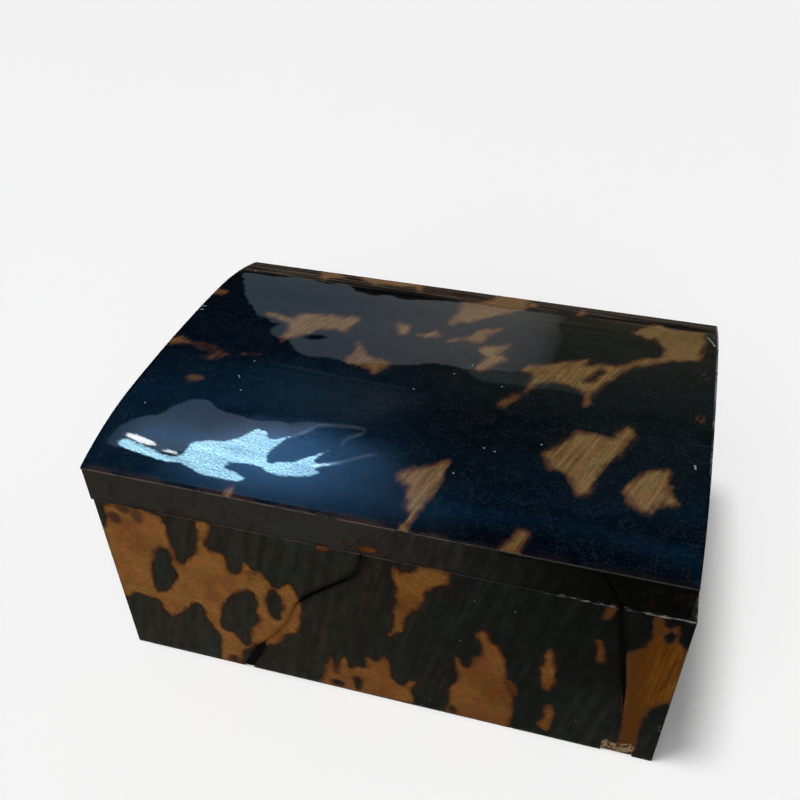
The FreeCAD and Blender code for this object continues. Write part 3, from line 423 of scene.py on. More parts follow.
# Dim room that the polish mirrors: a dome, in metres, its colours at the left and right over the sine of the
# height, and where along X the left turns to the right; the streaks near its foot; the floor behind the box.
ROOM_RADIUS = 3.0
ROOM_SIDES = 64
NO_LIGHT = (0.0, 0.0, 0.0)
ROOM_LEFT = [(0.0, (0.075, 0.062, 0.052)), (0.20, (0.018, 0.016, 0.015)), (0.36, (0.004, 0.012, 0.036)),
             (0.56, (0.006, 0.030, 0.080)), (0.64, (0.016, 0.120, 0.280)), (0.88, (0.030, 0.150, 0.340)),
             (0.965, (0.030, 0.080, 0.150)), (1.0, (0.012, 0.025, 0.050))]
ROOM_RIGHT = [(0.0, (0.100, 0.100, 0.075)), (0.20, (0.090, 0.088, 0.056)), (0.45, (0.100, 0.105, 0.075)),
              (0.58, (0.065, 0.085, 0.080)), (0.72, (0.018, 0.050, 0.090)), (0.86, (0.016, 0.085, 0.190)),
              (0.930, (0.004, 0.060, 0.150)), (0.955, (0.004, 0.150, 0.360)), (0.980, (0.002, 0.030, 0.080))]
ROOM_TURN = (-0.36, -0.12)
ROOM_STREAKS = [(0.38, (0.004, 0.003, 0.003)), (0.5, (0.075, 0.058, 0.046)), (0.62, (0.34, 0.26, 0.19))]
ROOM_FLOOR = [(-2.4, 0.3, 0.003), (1.6, 0.3, 0.003), (1.6, 2.9, 0.003), (-2.4, 2.9, 0.003)]
FLOOR_STREAKS = [(0.40, (0.003, 0.002, 0.002)), (0.5, (0.070, 0.050, 0.038)), (0.60, (0.34, 0.26, 0.19))]

# The floor, in metres, which is a little paler near the camera.
FLOOR_HALF = 4.0
FLOOR_LEVEL = -0.0002
FLOOR_FAR = (0.885, 0.885, 0.885)
FLOOR_NEAR = (0.92, 0.92, 0.92)

# Suns: name, azimuth from +Y towards +X, elevation, strength and spread; angles in degrees.
SUNS = [("key", -110, 76.5, 2.0, 13), ("fill", 178, 40, 1.3, 70)]
# Strength of the white surround as light, and as what the camera and mirrors see.
WORLD_LIGHT = 0.12
WORLD_SEEN = 0.9

# Camera of the photograph: metres, radians, and pixels of an 800 pixel frame.
CAMERA_PLACE = (0.082533, -0.325516, 0.349285)
CAMERA_YAW, CAMERA_PITCH, CAMERA_ROLL = 0.2781, 0.7473, -0.0025
FOCAL_PIXELS = 895.944
CENTRE_PIXELS = (412.15, 508.11)
FRAME_PIXELS = 800
SENSOR_MM = 36.0


def rounded(outline, cuts=2):
    """The outline with its corners cut again and again, so that it runs in curves."""
    points = np.array(outline, dtype=float)
    for _ in range(cuts):
        ahead = np.roll(points, -1, axis=0)
        first = (1 - CORNER_CUT) * points + CORNER_CUT * ahead
        second = CORNER_CUT * points + (1 - CORNER_CUT) * ahead
        points = np.stack([first, second], axis=1).reshape(-1, 2)
    return points


def depth_inside(spots, outline, cuts=2):
    """Distance in mm from each spot to a closed outline, positive inside it; far spots get -CLEAR."""
    start = rounded(outline, cuts)
    depth = np.full(len(spots), -CLEAR)
    near = np.all((spots > start.min(axis=0) - CLEAR) & (spots < start.max(axis=0) + CLEAR), axis=1)
    if not near.any():
        return depth
    spots = spots[near]
    end = np.roll(start, -1, axis=0)
    along = end - start
    reach = spots[:, None, :] - start[None, :, :]
    share = np.clip((reach * along).sum(axis=2) / np.maximum((along ** 2).sum(axis=1), TINY), 0, 1)
    gap = np.sqrt(((reach - share[..., None] * along) ** 2).sum(axis=2)).min(axis=1)
    rise = np.where(along[:, 1] == 0, TINY, along[:, 1])
    level = (start[:, 1] > spots[:, 1:]) != (end[:, 1] > spots[:, 1:])
    right = spots[:, :1] < start[:, 0] + (spots[:, 1:] - start[:, 1]) / rise * along[:, 0]
    inside = (level & right).sum(axis=1) % 2 == 1
    depth[near] = np.where(inside, gap, -gap)
    return depth


def mottling(spots, amber, dark):
    """Depth into the amber, in mm, and tone of the amber at each spot."""
    depth = np.full(len(spots), -CLEAR)
    tone = np.full(len(spots), 0.5)
    for island in amber:
        inside = np.minimum(depth_inside(spots, island.outline), island.most)
        tone = np.where(inside > depth, island.tone, tone)
        depth = np.maximum(depth, inside)
    for shade in dark:
        depth = np.minimum(depth, np.maximum(-depth_inside(spots, shade.outline), shade.least))
    return depth, tone


def stained(spots):
    """Strength of the stains at each spot, fading from the middle of each to its edge."""
    most = np.zeros(len(spots))
    for x, y, half_x, half_y, strength in FRONT_STAINS:
        reach = np.hypot((spots[:, 0] - x) / half_x, (spots[:, 1] - y) / half_y)
        most = np.maximum(most, strength * np.clip(STAIN_FALL * (1 - reach), 0, 1))
    return most


def front_spots(mm):
    return mm[:, [0, 2]]


def lid_spots(mm):
    return mm[:, [0, 1]]


def back_spots(mm):
    """The back plates are cut from the same shell as the front, turned end for end."""
    return np.stack([BACK_START[0] - mm[:, 0], BACK_START[1] - mm[:, 2]], axis=1)


def left_spots(mm):
    """The left plates are cut from the same shell as the lid."""
    return np.stack([LEFT_START[0] - mm[:, 1], LEFT_START[1] + mm[:, 2]], axis=1)


def right_spots(mm):
    """The right plates are cut from the same shell as the front, a little stretched."""
    return np.stack([RIGHT_START + mm[:, 1] * RIGHT_STRETCH, mm[:, 2]], axis=1)


def coordinates(mesh):
    places = np.empty(3 * len(mesh.vertices), dtype=np.float32)
    mesh.vertices.foreach_get("co", places)
    return places.reshape(-1, 3).astype(float)


def store(mesh, name, values):
    attribute = mesh.attributes.new(name, "FLOAT", "POINT")
    attribute.data.foreach_set("value", np.asarray(values, dtype=np.float32))


class Surface:
    """A procedural material, whose nodes are added by short calls."""

    def __init__(self, name, specular=0.5, metallic=0.0):
        self.material = bpy.data.materials.new(name)
        self.material.use_nodes = True
        self.tree = self.material.node_tree
        self.shader = self.tree.nodes["Principled BSDF"]
        self.shader.inputs["Specular IOR Level"].default_value = specular
        self.shader.inputs["Metallic"].default_value = metallic
        self.place = self.add("ShaderNodeTexCoord").outputs["Object"]
        self.axes = self.add("ShaderNodeSeparateXYZ", {0: self.place}).outputs

    def add(self, kind, inputs=None, **settings):
        node = self.tree.nodes.new(kind)
        for key, value in settings.items():
            setattr(node, key, value)
        for key, value in (inputs or {}).items():
            self.feed(node.inputs[key], value)
        return node

    def feed(self, socket, value):
        if isinstance(value, bpy.types.NodeSocket):
            self.tree.links.new(value, socket)
        else:
            socket.default_value = value

    def math(self, operation, first, second=0.0, third=0.0):
        return self.add("ShaderNodeMath", {0: first, 1: second, 2: third}, operation=operation).outputs[0]

    def times(self, first, second):
        return self.math("MULTIPLY", first, second)

    def span(self, value, low, high, to_low=0.0, to_high=1.0):
        """Value carried smoothly from one range to another."""
        inputs = {"Value": value, "From Min": low, "From Max": high, "To Min": to_low, "To Max": to_high}
        return self.add("ShaderNodeMapRange", inputs, interpolation_type="SMOOTHSTEP").outputs[0]

    def within(self, *steps):
        """Product of steps, each an axis and the places on it, in mm, where it is nothing and where one."""
        share = None
        for axis, low, high in steps:
            step = self.span(self.axes[axis], low * MM, high * MM)
            share = step if share is None else self.times(share, step)
        return share

    def noise(self, size, turn=(0, 0, 0), detail=3.0, rough=0.55, shift=(0, 0, 0), place=None):
        """Noise with features of that size in mm along its own axes, turned by angles in degrees."""
        inputs = {"Vector": place or self.place, "Location": [v * MM for v in shift],
                  "Rotation": [math.radians(v) for v in turn], "Scale": [v * MM for v in size]}
        spot = self.add("ShaderNodeMapping", inputs, vector_type="TEXTURE").outputs[0]
        inputs = {"Vector": spot, "Scale": 1.0, "Detail": detail, "Roughness": rough}
        return self.add("ShaderNodeTexNoise", inputs).outputs["Fac"]

    def mix(self, share, first, second, blend="MIX"):
        node = self.add("ShaderNodeMix", data_type="RGBA", blend_type=blend)
        for socket, value in zip((node.inputs[0], node.inputs[6], node.inputs[7]), (share, first, second)):
            if isinstance(value, tuple):
                value = (*value, 1.0)
            self.feed(socket, value)
        return node.outputs[2]

    def ramp(self, value, stops):
        """Colour from a list of (place, colour)."""
        first, last = stops[0][0], stops[-1][0]
        share = self.math("DIVIDE", self.math("SUBTRACT", value, first), last - first)
        node = self.add("ShaderNodeValToRGB", {0: share})
        bar = node.color_ramp.elements
        while len(bar) < len(stops):
            bar.new(1.0)
        for element, (place, colour) in zip(bar, stops):
            element.position = (place - first) / (last - first)
            element.color = (*colour, 1.0)
        return node.outputs[0]

    def attribute(self, name):
        return self.add("ShaderNodeAttribute", attribute_name=name).outputs["Fac"]

    def near(self, gap, radius):
        """One where the gap is within the radius, in mm, and nothing further off."""
        return self.span(gap, SPECK_CORE * radius * MM, SPECK_RIM * radius * MM, 1.0, 0.0)

    def specks(self, places, radius):
        """One within the radius, in mm, of any of the places."""
        nearest = 1.0
        for place in places:
            inputs = {0: self.place, 1: Vector(place) * MM}
            gap = self.add("ShaderNodeVectorMath", inputs, operation="DISTANCE").outputs["Value"]
            nearest = self.math("MINIMUM", gap, nearest)
        return self.near(nearest, radius)

    def scratch(self, start, end, radius):
        """One within the radius, in mm, of the line between two places."""
        start, along = Vector(start) * MM, (Vector(end) - Vector(start)) * MM
        reach = self.add("ShaderNodeVectorMath", {0: self.place, 1: start}, operation="SUBTRACT").outputs[0]
        inputs = {0: reach, 1: along / along.length_squared}
        share = self.add("ShaderNodeVectorMath", inputs, operation="DOT_PRODUCT").outputs["Value"]
        share = self.add("ShaderNodeClamp", {0: share}).outputs[0]
        foot = self.add("ShaderNodeVectorMath", {0: along, "Scale": share}, operation="SCALE").outputs[0]
        gap = self.add("ShaderNodeVectorMath", {0: reach, 1: foot}, operation="DISTANCE").outputs["Value"]
        return self.near(gap, radius)

    def finish(self, colour, roughness, height=None, bump_mm=0.1):
        self.feed(self.shader.inputs["Base Color"], colour)
        self.feed(self.shader.inputs["Roughness"], roughness)
        if height is not None:
            bump = self.add("ShaderNodeBump", {"Height": height, "Strength": 1.0, "Distance": bump_mm * MM})
            self.feed(self.shader.inputs["Normal"], bump.outputs[0])
        return self.material


# Colours, linear.
BLACK_SHELL = (0.0010, 0.0011, 0.0009)
LID_BLACK = (0.0003, 0.0005, 0.0006)
# Bloom on the dark shell together with a painted sheen of reflected light, paler towards the left.
BLOOM_SHEEN_SHELL = (0.0194, 0.0193, 0.0132)
BLOOM_SHEEN_GREEN = (0.0171, 0.0207, 0.0158)
BLOOM_SHEEN_RED = (0.0223, 0.0179, 0.0130)
BLOOM_SHEEN_LID = (0.0245, 0.0227, 0.0196)
RED_FRINGE = (0.020, 0.0085, 0.0045)
BROWN_FRINGE = (0.052, 0.021, 0.008)
RED_STAIN = (0.042, 0.016, 0.010)
FRONT_DEEP = (0.075, 0.025, 0.0024)
FRONT_BRIGHT = (0.194, 0.084, 0.021)
FRONT_RED = (0.126, 0.042, 0.0115)
CORNER_FIBRES = [(0.3, (0.050, 0.014, 0.0012)), (0.5, (0.100, 0.034, 0.0026)), (0.7, (0.160, 0.066, 0.0080))]
LID_DEEP = (0.103, 0.049, 0.012)
LID_BRIGHT = (0.157, 0.094, 0.034)
BACK_AMBER = (0.110, 0.055, 0.030)
DARK_EDGE = (0.010, 0.009, 0.007)
# Horn of worn, chipped edges, and also the painted highlight along the lid sheet's cut edge.
HORN_WEAR_AND_HIGHLIGHT = (0.075, 0.062, 0.052)
AMBER_EDGE = (0.170, 0.100, 0.050)
# Painted highlight along the edges of the upright plates.
RIM_EDGE_HIGHLIGHT = (0.056, 0.042, 0.033)
FILM = (0.0050, 0.0074, 0.0090)
PURPLE = (0.0040, 0.0018, 0.0040)
WARM_TINT = (1.10, 0.97, 0.96)
GREEN_TINT = (0.92, 1.03, 0.98)
DUST = (0.200, 0.198, 0.200)
FRONT_SPECK = (0.15, 0.15, 0.14)
LID_SPECK = (0.20, 0.22, 0.235)
CHIPPED_WOOD = [(0.40, (0.022, 0.007, 0.003)), (0.46, (0.085, 0.042, 0.022)), (0.54, (0.230, 0.160, 0.095))]
GLUE = [(0.3, (0.0005, 0.0004, 0.0003)), (0.7, (0.0035, 0.0022, 0.0014))]
RED_GLUE = (0.070, 0.020, 0.006)
JOINT_DIRT = (0.010, 0.0085, 0.0068)
JOINT_AMBER = (0.105, 0.034, 0.006)
WOOD_RINGS = [(0.25, (0.16, 0.085, 0.038)), (0.5, (0.26, 0.15, 0.07)), (0.75, (0.34, 0.21, 0.11))]
WOOD_PORE = (0.09, 0.045, 0.02)
BRASS = [(0.3, (0.22, 0.13, 0.05)), (0.5, (0.46, 0.31, 0.12)), (0.7, (0.62, 0.45, 0.2))]

# Shares of a speck's radius where it starts to fade and is gone; radius of specks, scratches and hairlines,
# in mm; and how faint a hairline is.
SPECK_CORE = 0.6
SPECK_RIM = 1.3
FRONT_SPECK_RADIUS = 0.3
LID_SPECK_RADIUS = 0.4
HAIRLINE_RADIUS = 0.22
HAIRLINE_SHARE = 0.04

# Fibres that the amber ends in: size in mm, turn in degrees, reach, where the amber starts, and where it is
# clear on sharp and on soft edges, all in mm along the depth.
FRONT_FEATHER = ((1.3, 1.3, 8), (0, 4, 0), 1.8, -0.6, 0.9, 2.6)
LID_FEATHER = ((1.5, 15, 15), (0, 0, -19), 4.5, -0.5, 1.6, 3.4)


def shell_colours(surface, streak_turn, grain, feather, deep, bright):
    """Colour of the mottled shell: black with faint streaks, a thin brown fringe, and grained amber.
    Grain is the size in mm of the flecks in the amber, their turn, and their contrast."""
    depth = surface.attribute("depth")
    tone = surface.attribute("tone")
    ragged = surface.math("SUBTRACT", surface.noise((5, 5, 5), detail=2.0), 0.5)
    fine = surface.math("SUBTRACT", surface.noise((1.7, 1.7, 1.7)), 0.5)
    edge = surface.math("MULTIPLY_ADD", ragged, 3.4, surface.math("MULTIPLY_ADD", fine, 0.6, depth))
    size, turn, reach, start, sharp, soft = feather
    fibres = surface.math("SUBTRACT", surface.noise(size, turn, 4.0, 0.6, shift=(0, 70, 20)), 0.5)
    edge = surface.math("MULTIPLY_ADD", fibres, reach, edge)
    end = surface.span(surface.noise((9, 9, 9), shift=(15, 5, 0)), 0.35, 0.65, sharp, soft)
    clear = surface.span(edge, start, end)
    size, turn, contrast = grain
    lines = surface.noise(size, turn, 4.0, 0.6)
    lines = surface.span(lines, 0.3, 0.7, surface.math("SUBTRACT", 1.0, contrast),
                         surface.math("MULTIPLY_ADD", contrast, 0.7, 1.0))
    cloud = surface.noise((14, 14, 14), detail=4.0, shift=(40, 0, 0))
    amber = surface.mix(surface.math("ADD", tone, surface.span(cloud, 0.3, 0.7, -0.22, 0.22)), deep, bright)
    speckle = surface.noise((0.7, 0.7, 0.7), detail=2.0, shift=(3, 8, 5))
    lines = surface.times(lines, surface.span(speckle, 0.3, 0.7, 0.78, 1.22))
    shade = surface.add("ShaderNodeCombineXYZ", {0: lines, 1: lines, 2: lines}).outputs[0]
    amber = surface.mix(1.0, amber, shade, "MULTIPLY")
    blotch = surface.span(surface.noise((6, 6, 6), detail=3.0, shift=(11, 2, 17)), 0.35, 0.65)
    amber = surface.mix(1.0, amber, surface.mix(blotch, WARM_TINT, GREEN_TINT), "MULTIPLY")
    streaks = surface.span(surface.noise((2.5, 40, 40), streak_turn, 3.0), 0.35, 0.75)
    return edge, clear, amber, streaks


def fringed(surface, dark, edge, clear, amber):
    """Dark shell that turns brown and then amber; the brown reaches further out in some places."""
    reach = surface.span(surface.noise((13, 13, 13), shift=(0, 30, 10)), 0.35, 0.65, -1.2, -2.8)
    colour = surface.mix(surface.span(edge, reach, -0.5), dark, RED_FRINGE)
    colour = surface.mix(surface.span(edge, -1.0, 0.0), colour, BROWN_FRINGE)
    return surface.mix(clear, colour, amber)


def front_shell():
    """Satin shell of the upright faces, with a bloom and a painted sheen of reflected light towards the left
    and at the foot on the right, and black along open joints with painted shade beside them.
    """
    surface = Surface("front_shell", specular=0.01)
    grain = ((2.4, 2.4, 1.2), (0, 12, 0), 0.18)
    edge, clear, amber, streaks = shell_colours(surface, (0, 14, 0), grain, FRONT_FEATHER,
                                                FRONT_DEEP, FRONT_BRIGHT)
    across = surface.axes["X"]
    hue = surface.noise((26, 26, 34), detail=3.0, shift=(0, 0, 60))
    hue = surface.math("ADD", hue, surface.span(across, -60 * MM, 90 * MM, 0.04, -0.12))
    bloom_sheen_colour = surface.mix(surface.span(hue, 0.36, 0.5), BLOOM_SHEEN_GREEN, BLOOM_SHEEN_SHELL)
    bloom_sheen_colour = surface.mix(surface.span(hue, 0.49, 0.66), bloom_sheen_colour, BLOOM_SHEEN_RED)
    # Bloom and painted sheen: stronger towards the left, and at the foot on the right as a painted reflection
    # of the floor; on the lid's front, stronger towards the left.
    foot = surface.within(("Z", 65, 10), ("X", 55, 95))
    base_bloom_sheen = surface.math("MULTIPLY_ADD", foot, 0.36, surface.within(("X", 190, -130)))
    lid_bloom_sheen = surface.span(across, 100 * MM, -40 * MM, 0.0, 1.2)
    upper = surface.within(("Z", 93, 94))
    bloom_sheen_colour = surface.mix(surface.times(upper, 0.7), bloom_sheen_colour, BLOOM_SHEEN_LID)
    bloom_sheen = surface.mix(upper, base_bloom_sheen, lid_bloom_sheen)
    bloom_sheen = surface.times(bloom_sheen, surface.span(streaks, 0.0, 1.0, 0.76, 1.27))
    patches = surface.noise((4, 4, 8), (0, 14, 0), 5.0, 0.65, shift=(50, 0, 9))
    bloom_sheen = surface.times(bloom_sheen, surface.span(patches, 0.3, 0.7, 0.68, 1.32))
    dark = surface.mix(bloom_sheen, BLACK_SHELL, bloom_sheen_colour)
    red = surface.span(surface.noise((17, 17, 22), detail=4.0, shift=(9, 0, 31)), 0.48, 0.66, 0.0, 0.7)
    red = surface.times(red, surface.within(("X", 106, 92)))
    amber = surface.mix(red, amber, FRONT_RED)
    corner = surface.within(("X", 109, 119), ("Z", 25, 50))
    fibres = surface.noise((1.5, 1.5, 18), (0, 4, 0), 4.0, 0.65)
    amber = surface.mix(corner, amber, surface.ramp(fibres, CORNER_FIBRES))
    amber = surface.mix(surface.attribute("stain"), amber, RED_STAIN)
    # Darker along open joints: the dark shell turns black, partly a painted shade beside the crack, and the
    # amber turns orange-red with glue.
    joint = surface.span(surface.attribute("joint"), 2.4, 0.2)
    dark = surface.mix(surface.times(joint, 0.7), dark, BLACK_SHELL)
    amber = surface.mix(surface.times(joint, 0.7), amber, JOINT_AMBER)
    colour = fringed(surface, dark, edge, clear, amber)
    chips = surface.noise((2.6, 2.6, 0.7), detail=5.0, rough=0.65)
    low_edge = surface.times(surface.within(("Z", 2.2, 0.2)), surface.span(chips, 0.5, 0.6))
    colour = surface.mix(low_edge, colour, HORN_WEAR_AND_HIGHLIGHT)
    seam = surface.within(("Z", 92.8, 93.3), ("Z", 94.4, 93.8), ("X", 62, 80))
    broken = surface.span(surface.noise((5, 5, 0.5), (0, 4, 0), 5.0, 0.7), 0.52, 0.6)
    colour = surface.mix(surface.times(seam, broken), colour, DUST)
    specks = surface.specks([(x, FRONT_PLANE, z) for x, z in FRONT_SPECKS], FRONT_SPECK_RADIUS)
    colour = surface.mix(specks, colour, FRONT_SPECK)
    roughness = surface.span(surface.noise((9, 9, 9), detail=4.0), 0.3, 0.7, 0.24, 0.36)
    scratches = surface.noise((30, 30, 0.5), (0, 8, 0), 4.0)
    return surface.finish(colour, roughness, scratches, 0.02)


def on_lid(x, y):
    """A place on the lid's surface, in mm."""
    return (x, y, float(lid_height(np.array([y]))[0]))


def lid_shell():
    """Polished shell of the lid's top, with a film of dust, specks and fine scratches."""
    surface = Surface("lid_shell", specular=0.5)
    across, back = surface.axes["X"], surface.axes["Y"]
    grain = ((1.3, 22, 22), (0, 0, -19), surface.span(back, 10 * MM, 50 * MM, 0.36, 0.15))
    edge, clear, amber, streaks = shell_colours(surface, (0, 0, -20), grain, LID_FEATHER,
                                                LID_DEEP, LID_BRIGHT)
    paler = surface.mix(0.5, amber, BACK_AMBER, "ADD")
    amber = surface.mix(surface.within(("Y", 68, 86)), amber, paler)
    dark = surface.mix(surface.times(streaks, 0.5), LID_BLACK, BLACK_SHELL)
    blotch = surface.span(surface.noise((9, 9, 9), detail=4.0, shift=(21, 9, 0)), 0.5, 0.72)
    dark = surface.mix(surface.times(blotch, 0.7), dark, PURPLE)
    grains = surface.noise((1.2, 1.2, 1.2), detail=3.0, rough=0.7, shift=(7, 3, 0))
    patches = surface.span(surface.noise((6, 6, 6), detail=4.0, shift=(2, 31, 0)), 0.35, 0.65, 0.25, 1.6)
    film = surface.times(surface.span(grains, 0.43, 0.68), patches)
    dark = surface.mix(film, dark, FILM)
    brink = surface.span(surface.noise((18, 18, 18), shift=(5, 50, 0)), 0.42, 0.6)
    brink = surface.times(surface.within(("Y", -88.5, -91.0)), brink)
    brink = surface.times(brink, surface.span(across, 60 * MM, 0, 0.2, 1.0))
    dark = surface.mix(brink, dark, RED_FRINGE)
    colour = fringed(surface, dark, edge, clear, amber)
    marks = surface.specks([on_lid(x, y) for x, y in LID_SPECKS], LID_SPECK_RADIUS)
    for start, end in LID_SCRATCHES:
        line = surface.scratch(on_lid(*start), on_lid(*end), LID_SPECK_RADIUS)
        marks = surface.math("MAXIMUM", marks, line)
    for start, end in LID_HAIRLINES:
        hair = surface.scratch(on_lid(*start), on_lid(*end), HAIRLINE_RADIUS)
        marks = surface.math("MAXIMUM", marks, surface.times(hair, HAIRLINE_SHARE))
    worn = surface.span(surface.noise((9, 9, 9), detail=4.0, shift=(0, 13, 0)), 0.44, 0.6, 0.05, 0.8)
    rim = surface.times(surface.within(("X", 121.2, 121.9)), worn)
    rim = surface.times(rim, surface.within(("Y", -50, -10)))
    marks = surface.math("MAXIMUM", marks, rim)
    colour = surface.mix(marks, colour, LID_SPECK)
    roughness = surface.span(surface.noise((12, 12, 12), detail=5.0), 0.3, 0.75, 0.014, 0.026)
    scratches = surface.noise((6, 0.55, 6), (0, 0, 25), 4.0, 0.7)
    return surface.finish(colour, roughness, scratches, 0.0006)


def sheet_edge():
    """Cut edge of the sheet over the lid: dull horn with a painted highlight that grows paler to the left,
    and amber where the shell is.
    """
    surface = Surface("sheet_edge", specular=0.1)
    dirt = surface.noise((6, 3, 3), detail=5.0, rough=0.65)
    # Painted highlight: the edge is paler towards the left.
    left = surface.span(surface.axes["X"], 90 * MM, 0, 0.2, 1.0)
    pale_highlight = surface.times(surface.span(dirt, 0.36, 0.62), left)
    colour = surface.mix(pale_highlight, DARK_EDGE, HORN_WEAR_AND_HIGHLIGHT)
    colour = surface.mix(surface.span(surface.attribute("depth"), -0.3, 0.6), colour, AMBER_EDGE)
    return surface.finish(colour, 0.5, dirt, 0.1)


def plate_edge():
    """Top and bottom edges of the upright plates: horn with a painted pale highlight towards the left, amber
    where the shell is, dusty to the right.
    """
    surface = Surface("plate_edge", specular=0.1)
    dirt = surface.noise((6, 3, 3), detail=5.0, rough=0.65)
    # Painted highlight: the edge is paler towards the left.
    left = surface.span(surface.axes["X"], 70 * MM, 10 * MM, 0.2, 1.0)
    pale_highlight = surface.times(surface.span(dirt, 0.3, 0.55), left)
    colour = surface.mix(pale_highlight, DARK_EDGE, RIM_EDGE_HIGHLIGHT)
    colour = surface.mix(surface.span(surface.attribute("depth"), 0.0, 1.0), colour, AMBER_EDGE)
    dusty = surface.times(surface.span(dirt, 0.48, 0.57), surface.within(("X", 60, 75)))
    return surface.finish(surface.mix(dusty, colour, DUST), 0.6, dirt, 0.1)


def glue_colour(surface):
    """Old glue in the joints: near-black, red-brown where the amber meets across the joint, and hidden by
    dirt at the top of the left joint."""
    glue = surface.ramp(surface.noise((3, 3, 3), detail=4.0), GLUE)
    red = surface.within(("X", -55.5, -53.5), ("X", -35, -37), ("Y", -80, -90))
    filled = surface.within(("Z", 72, 86), ("X", 15, 5))
    return surface.mix(filled, surface.mix(red, glue, RED_GLUE), JOINT_DIRT)


def joint_wall():
    """Walls of the joints between plates, dark with old glue and dirt."""
    surface = Surface("joint_wall", specular=0.03)
    dirt = surface.noise((2, 2, 2), detail=4.0)
    return surface.finish(glue_colour(surface), 0.7, dirt, 0.05)


def carcase_wood(name, along, outer=None):
    """Waxed wood with its grain along an axis.
    Outer is the face that is dark with old glue: its axis, its sign along it, and its place in mm."""
    surface = Surface(name, specular=0.01 if outer else 0.3)
    size = [2.2, 2.2, 2.2]
    size["XYZ".index(along)] = 60
    rings = surface.noise(size, (2, 2, 2), 5.0, 0.6)
    size["XYZ".index(along)] = 14
    pores = surface.noise([0.25 * v for v in size], (1, 1, 1), 3.0)
    colour = surface.ramp(rings, WOOD_RINGS)
    colour = surface.mix(surface.span(pores, 0.6, 0.75, 0.0, 0.6), colour, WOOD_PORE)
    bare_rim = surface.within(("Z", 93.2, 93.45), ("X", 121.5, 122.5))
    scored = surface.span(surface.noise((1.0, 9, 1.0), (0, 0, 30), 5.0, 0.65), 0.4, 0.58)
    colour = surface.mix(bare_rim, colour, surface.mix(surface.times(scored, 0.6), DARK_EDGE, DUST))
    if outer:
        axis, sign, place = outer
        outward = surface.times(surface.axes[axis], sign)
        behind = surface.span(outward, (place - 0.2) * MM, (place - 0.05) * MM)
        bits = surface.ramp(surface.noise((1.5, 1.5, 2.4), (0, 35, 0), 5.0, 0.6), CHIPPED_WOOD)
        chip = surface.within(("X", 99, 101), ("Z", 29, 27))
        colour = surface.mix(behind, colour, surface.mix(chip, glue_colour(surface), bits))
    return surface.finish(colour, surface.span(rings, 0.3, 0.7, 0.42, 0.58), rings, 0.08)


def brass():
    """Dull brass with tarnish and fine rubbing marks."""
    surface = Surface("hinge_brass", metallic=1.0)
    tarnish = surface.noise((6, 6, 6), detail=5.0, rough=0.65)
    roughness = surface.span(tarnish, 0.3, 0.7, 0.48, 0.3)
    rubbed = surface.noise((8, 0.3, 0.3), detail=3.0)
    return surface.finish(surface.ramp(tarnish, BRASS), roughness, rubbed, 0.01)


def new_piece(mesh, node, materials):
    """Hangs a mesh on the body of the node that it stands for."""
    piece = bpy.data.objects.new(node + "_plate", mesh)
    bpy.context.scene.collection.objects.link(piece)
    for material in materials:
        mesh.materials.append(material)
    mesh.shade_smooth()
    mesh.set_sharp_from_angle(angle=math.radians(SHADED_ANGLE))
    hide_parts(node)
    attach(piece, frame["nodes"][node]["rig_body"])


def joint_gap(node, mesh):
    """Distance in mm from each vertex to the nearest open joint of the plate, up to CLEAR."""
    places = coordinates(mesh) / MM
    walls = {index for polygon in mesh.polygons if polygon.material_index == WALL
             for index in polygon.vertices}
    first, last = OPEN_JOINTS[node.split("_")[0]]
    walls = [index for index in walls if first < places[index][0] < last and places[index][2] > CHIP_TOP]
    tree = kdtree.KDTree(len(walls))
    for index in walls:
        tree.insert(places[index], index)
    tree.balance()
    if not walls:
        return np.full(len(places), CLEAR)
    return np.array([min(tree.find(place)[2], CLEAR) for place in places])


def at_hinge(edge):
    """Whether an edge lies in the bevels and channels round the hinge's axis."""
    return all(math.hypot(vertex.co.y / MM - HINGE_AXIS[0], vertex.co.z / MM - HINGE_AXIS[1]) < HINGE_REACH
               for vertex in edge.verts)


def flat_plate(node, face, spacing, spots_of, amber, dark, materials):
    """A plate of veneer: the node's shape with eased edges, cut into a grid that carries the mottling.
    Face is the index of the axis that the plate faces along."""
    shape = bmesh.new()
    shape.from_mesh(frame["nodes"][node].data)
    bmesh.ops.remove_doubles(shape, verts=shape.verts, dist=MERGE_GAP)
    flat = math.radians(FLAT_ANGLE)
    bmesh.ops.dissolve_limit(shape, angle_limit=flat, verts=shape.verts, edges=shape.edges)
    sharp = [edge for edge in shape.edges
             if edge.calc_face_angle(0) > math.radians(EASED_ANGLE) and not at_hinge(edge)]
    bmesh.ops.bevel(shape, geom=sharp, offset=EDGE_EASE * MM, segments=1, profile=0.5, affect="EDGES")
    bmesh.ops.triangulate(shape, faces=shape.faces[:])
    low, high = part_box(node)
    for axis in range(3):
        count = int((high[axis] - low[axis]) / (spacing * MM))
        normal = Vector((0, 0, 0))
        normal[axis] = 1
        for step in range(1, count):
            place = Vector(low)
            place[axis] += (high[axis] - low[axis]) * step / count
            geometry = shape.verts[:] + shape.edges[:] + shape.faces[:]
            bmesh.ops.bisect_plane(shape, geom=geometry, plane_co=place, plane_no=normal, dist=CUT_GAP)
    for polygon in shape.faces:
        if abs(polygon.normal[face]) < FACE_SHARE:
            polygon.material_index = EDGE if abs(polygon.normal.z) > EDGE_SHARE else WALL
    mesh = bpy.data.meshes.new(node + "_plate")
    shape.to_mesh(mesh)
    shape.free()
    spots = spots_of(coordinates(mesh) / MM)
    depth, tone = mottling(spots, amber, dark)
    store(mesh, "depth", depth)
    store(mesh, "tone", tone)
    store(mesh, "stain", stained(spots))
    store(mesh, "joint", joint_gap(node, mesh))
    new_piece(mesh, node, materials)


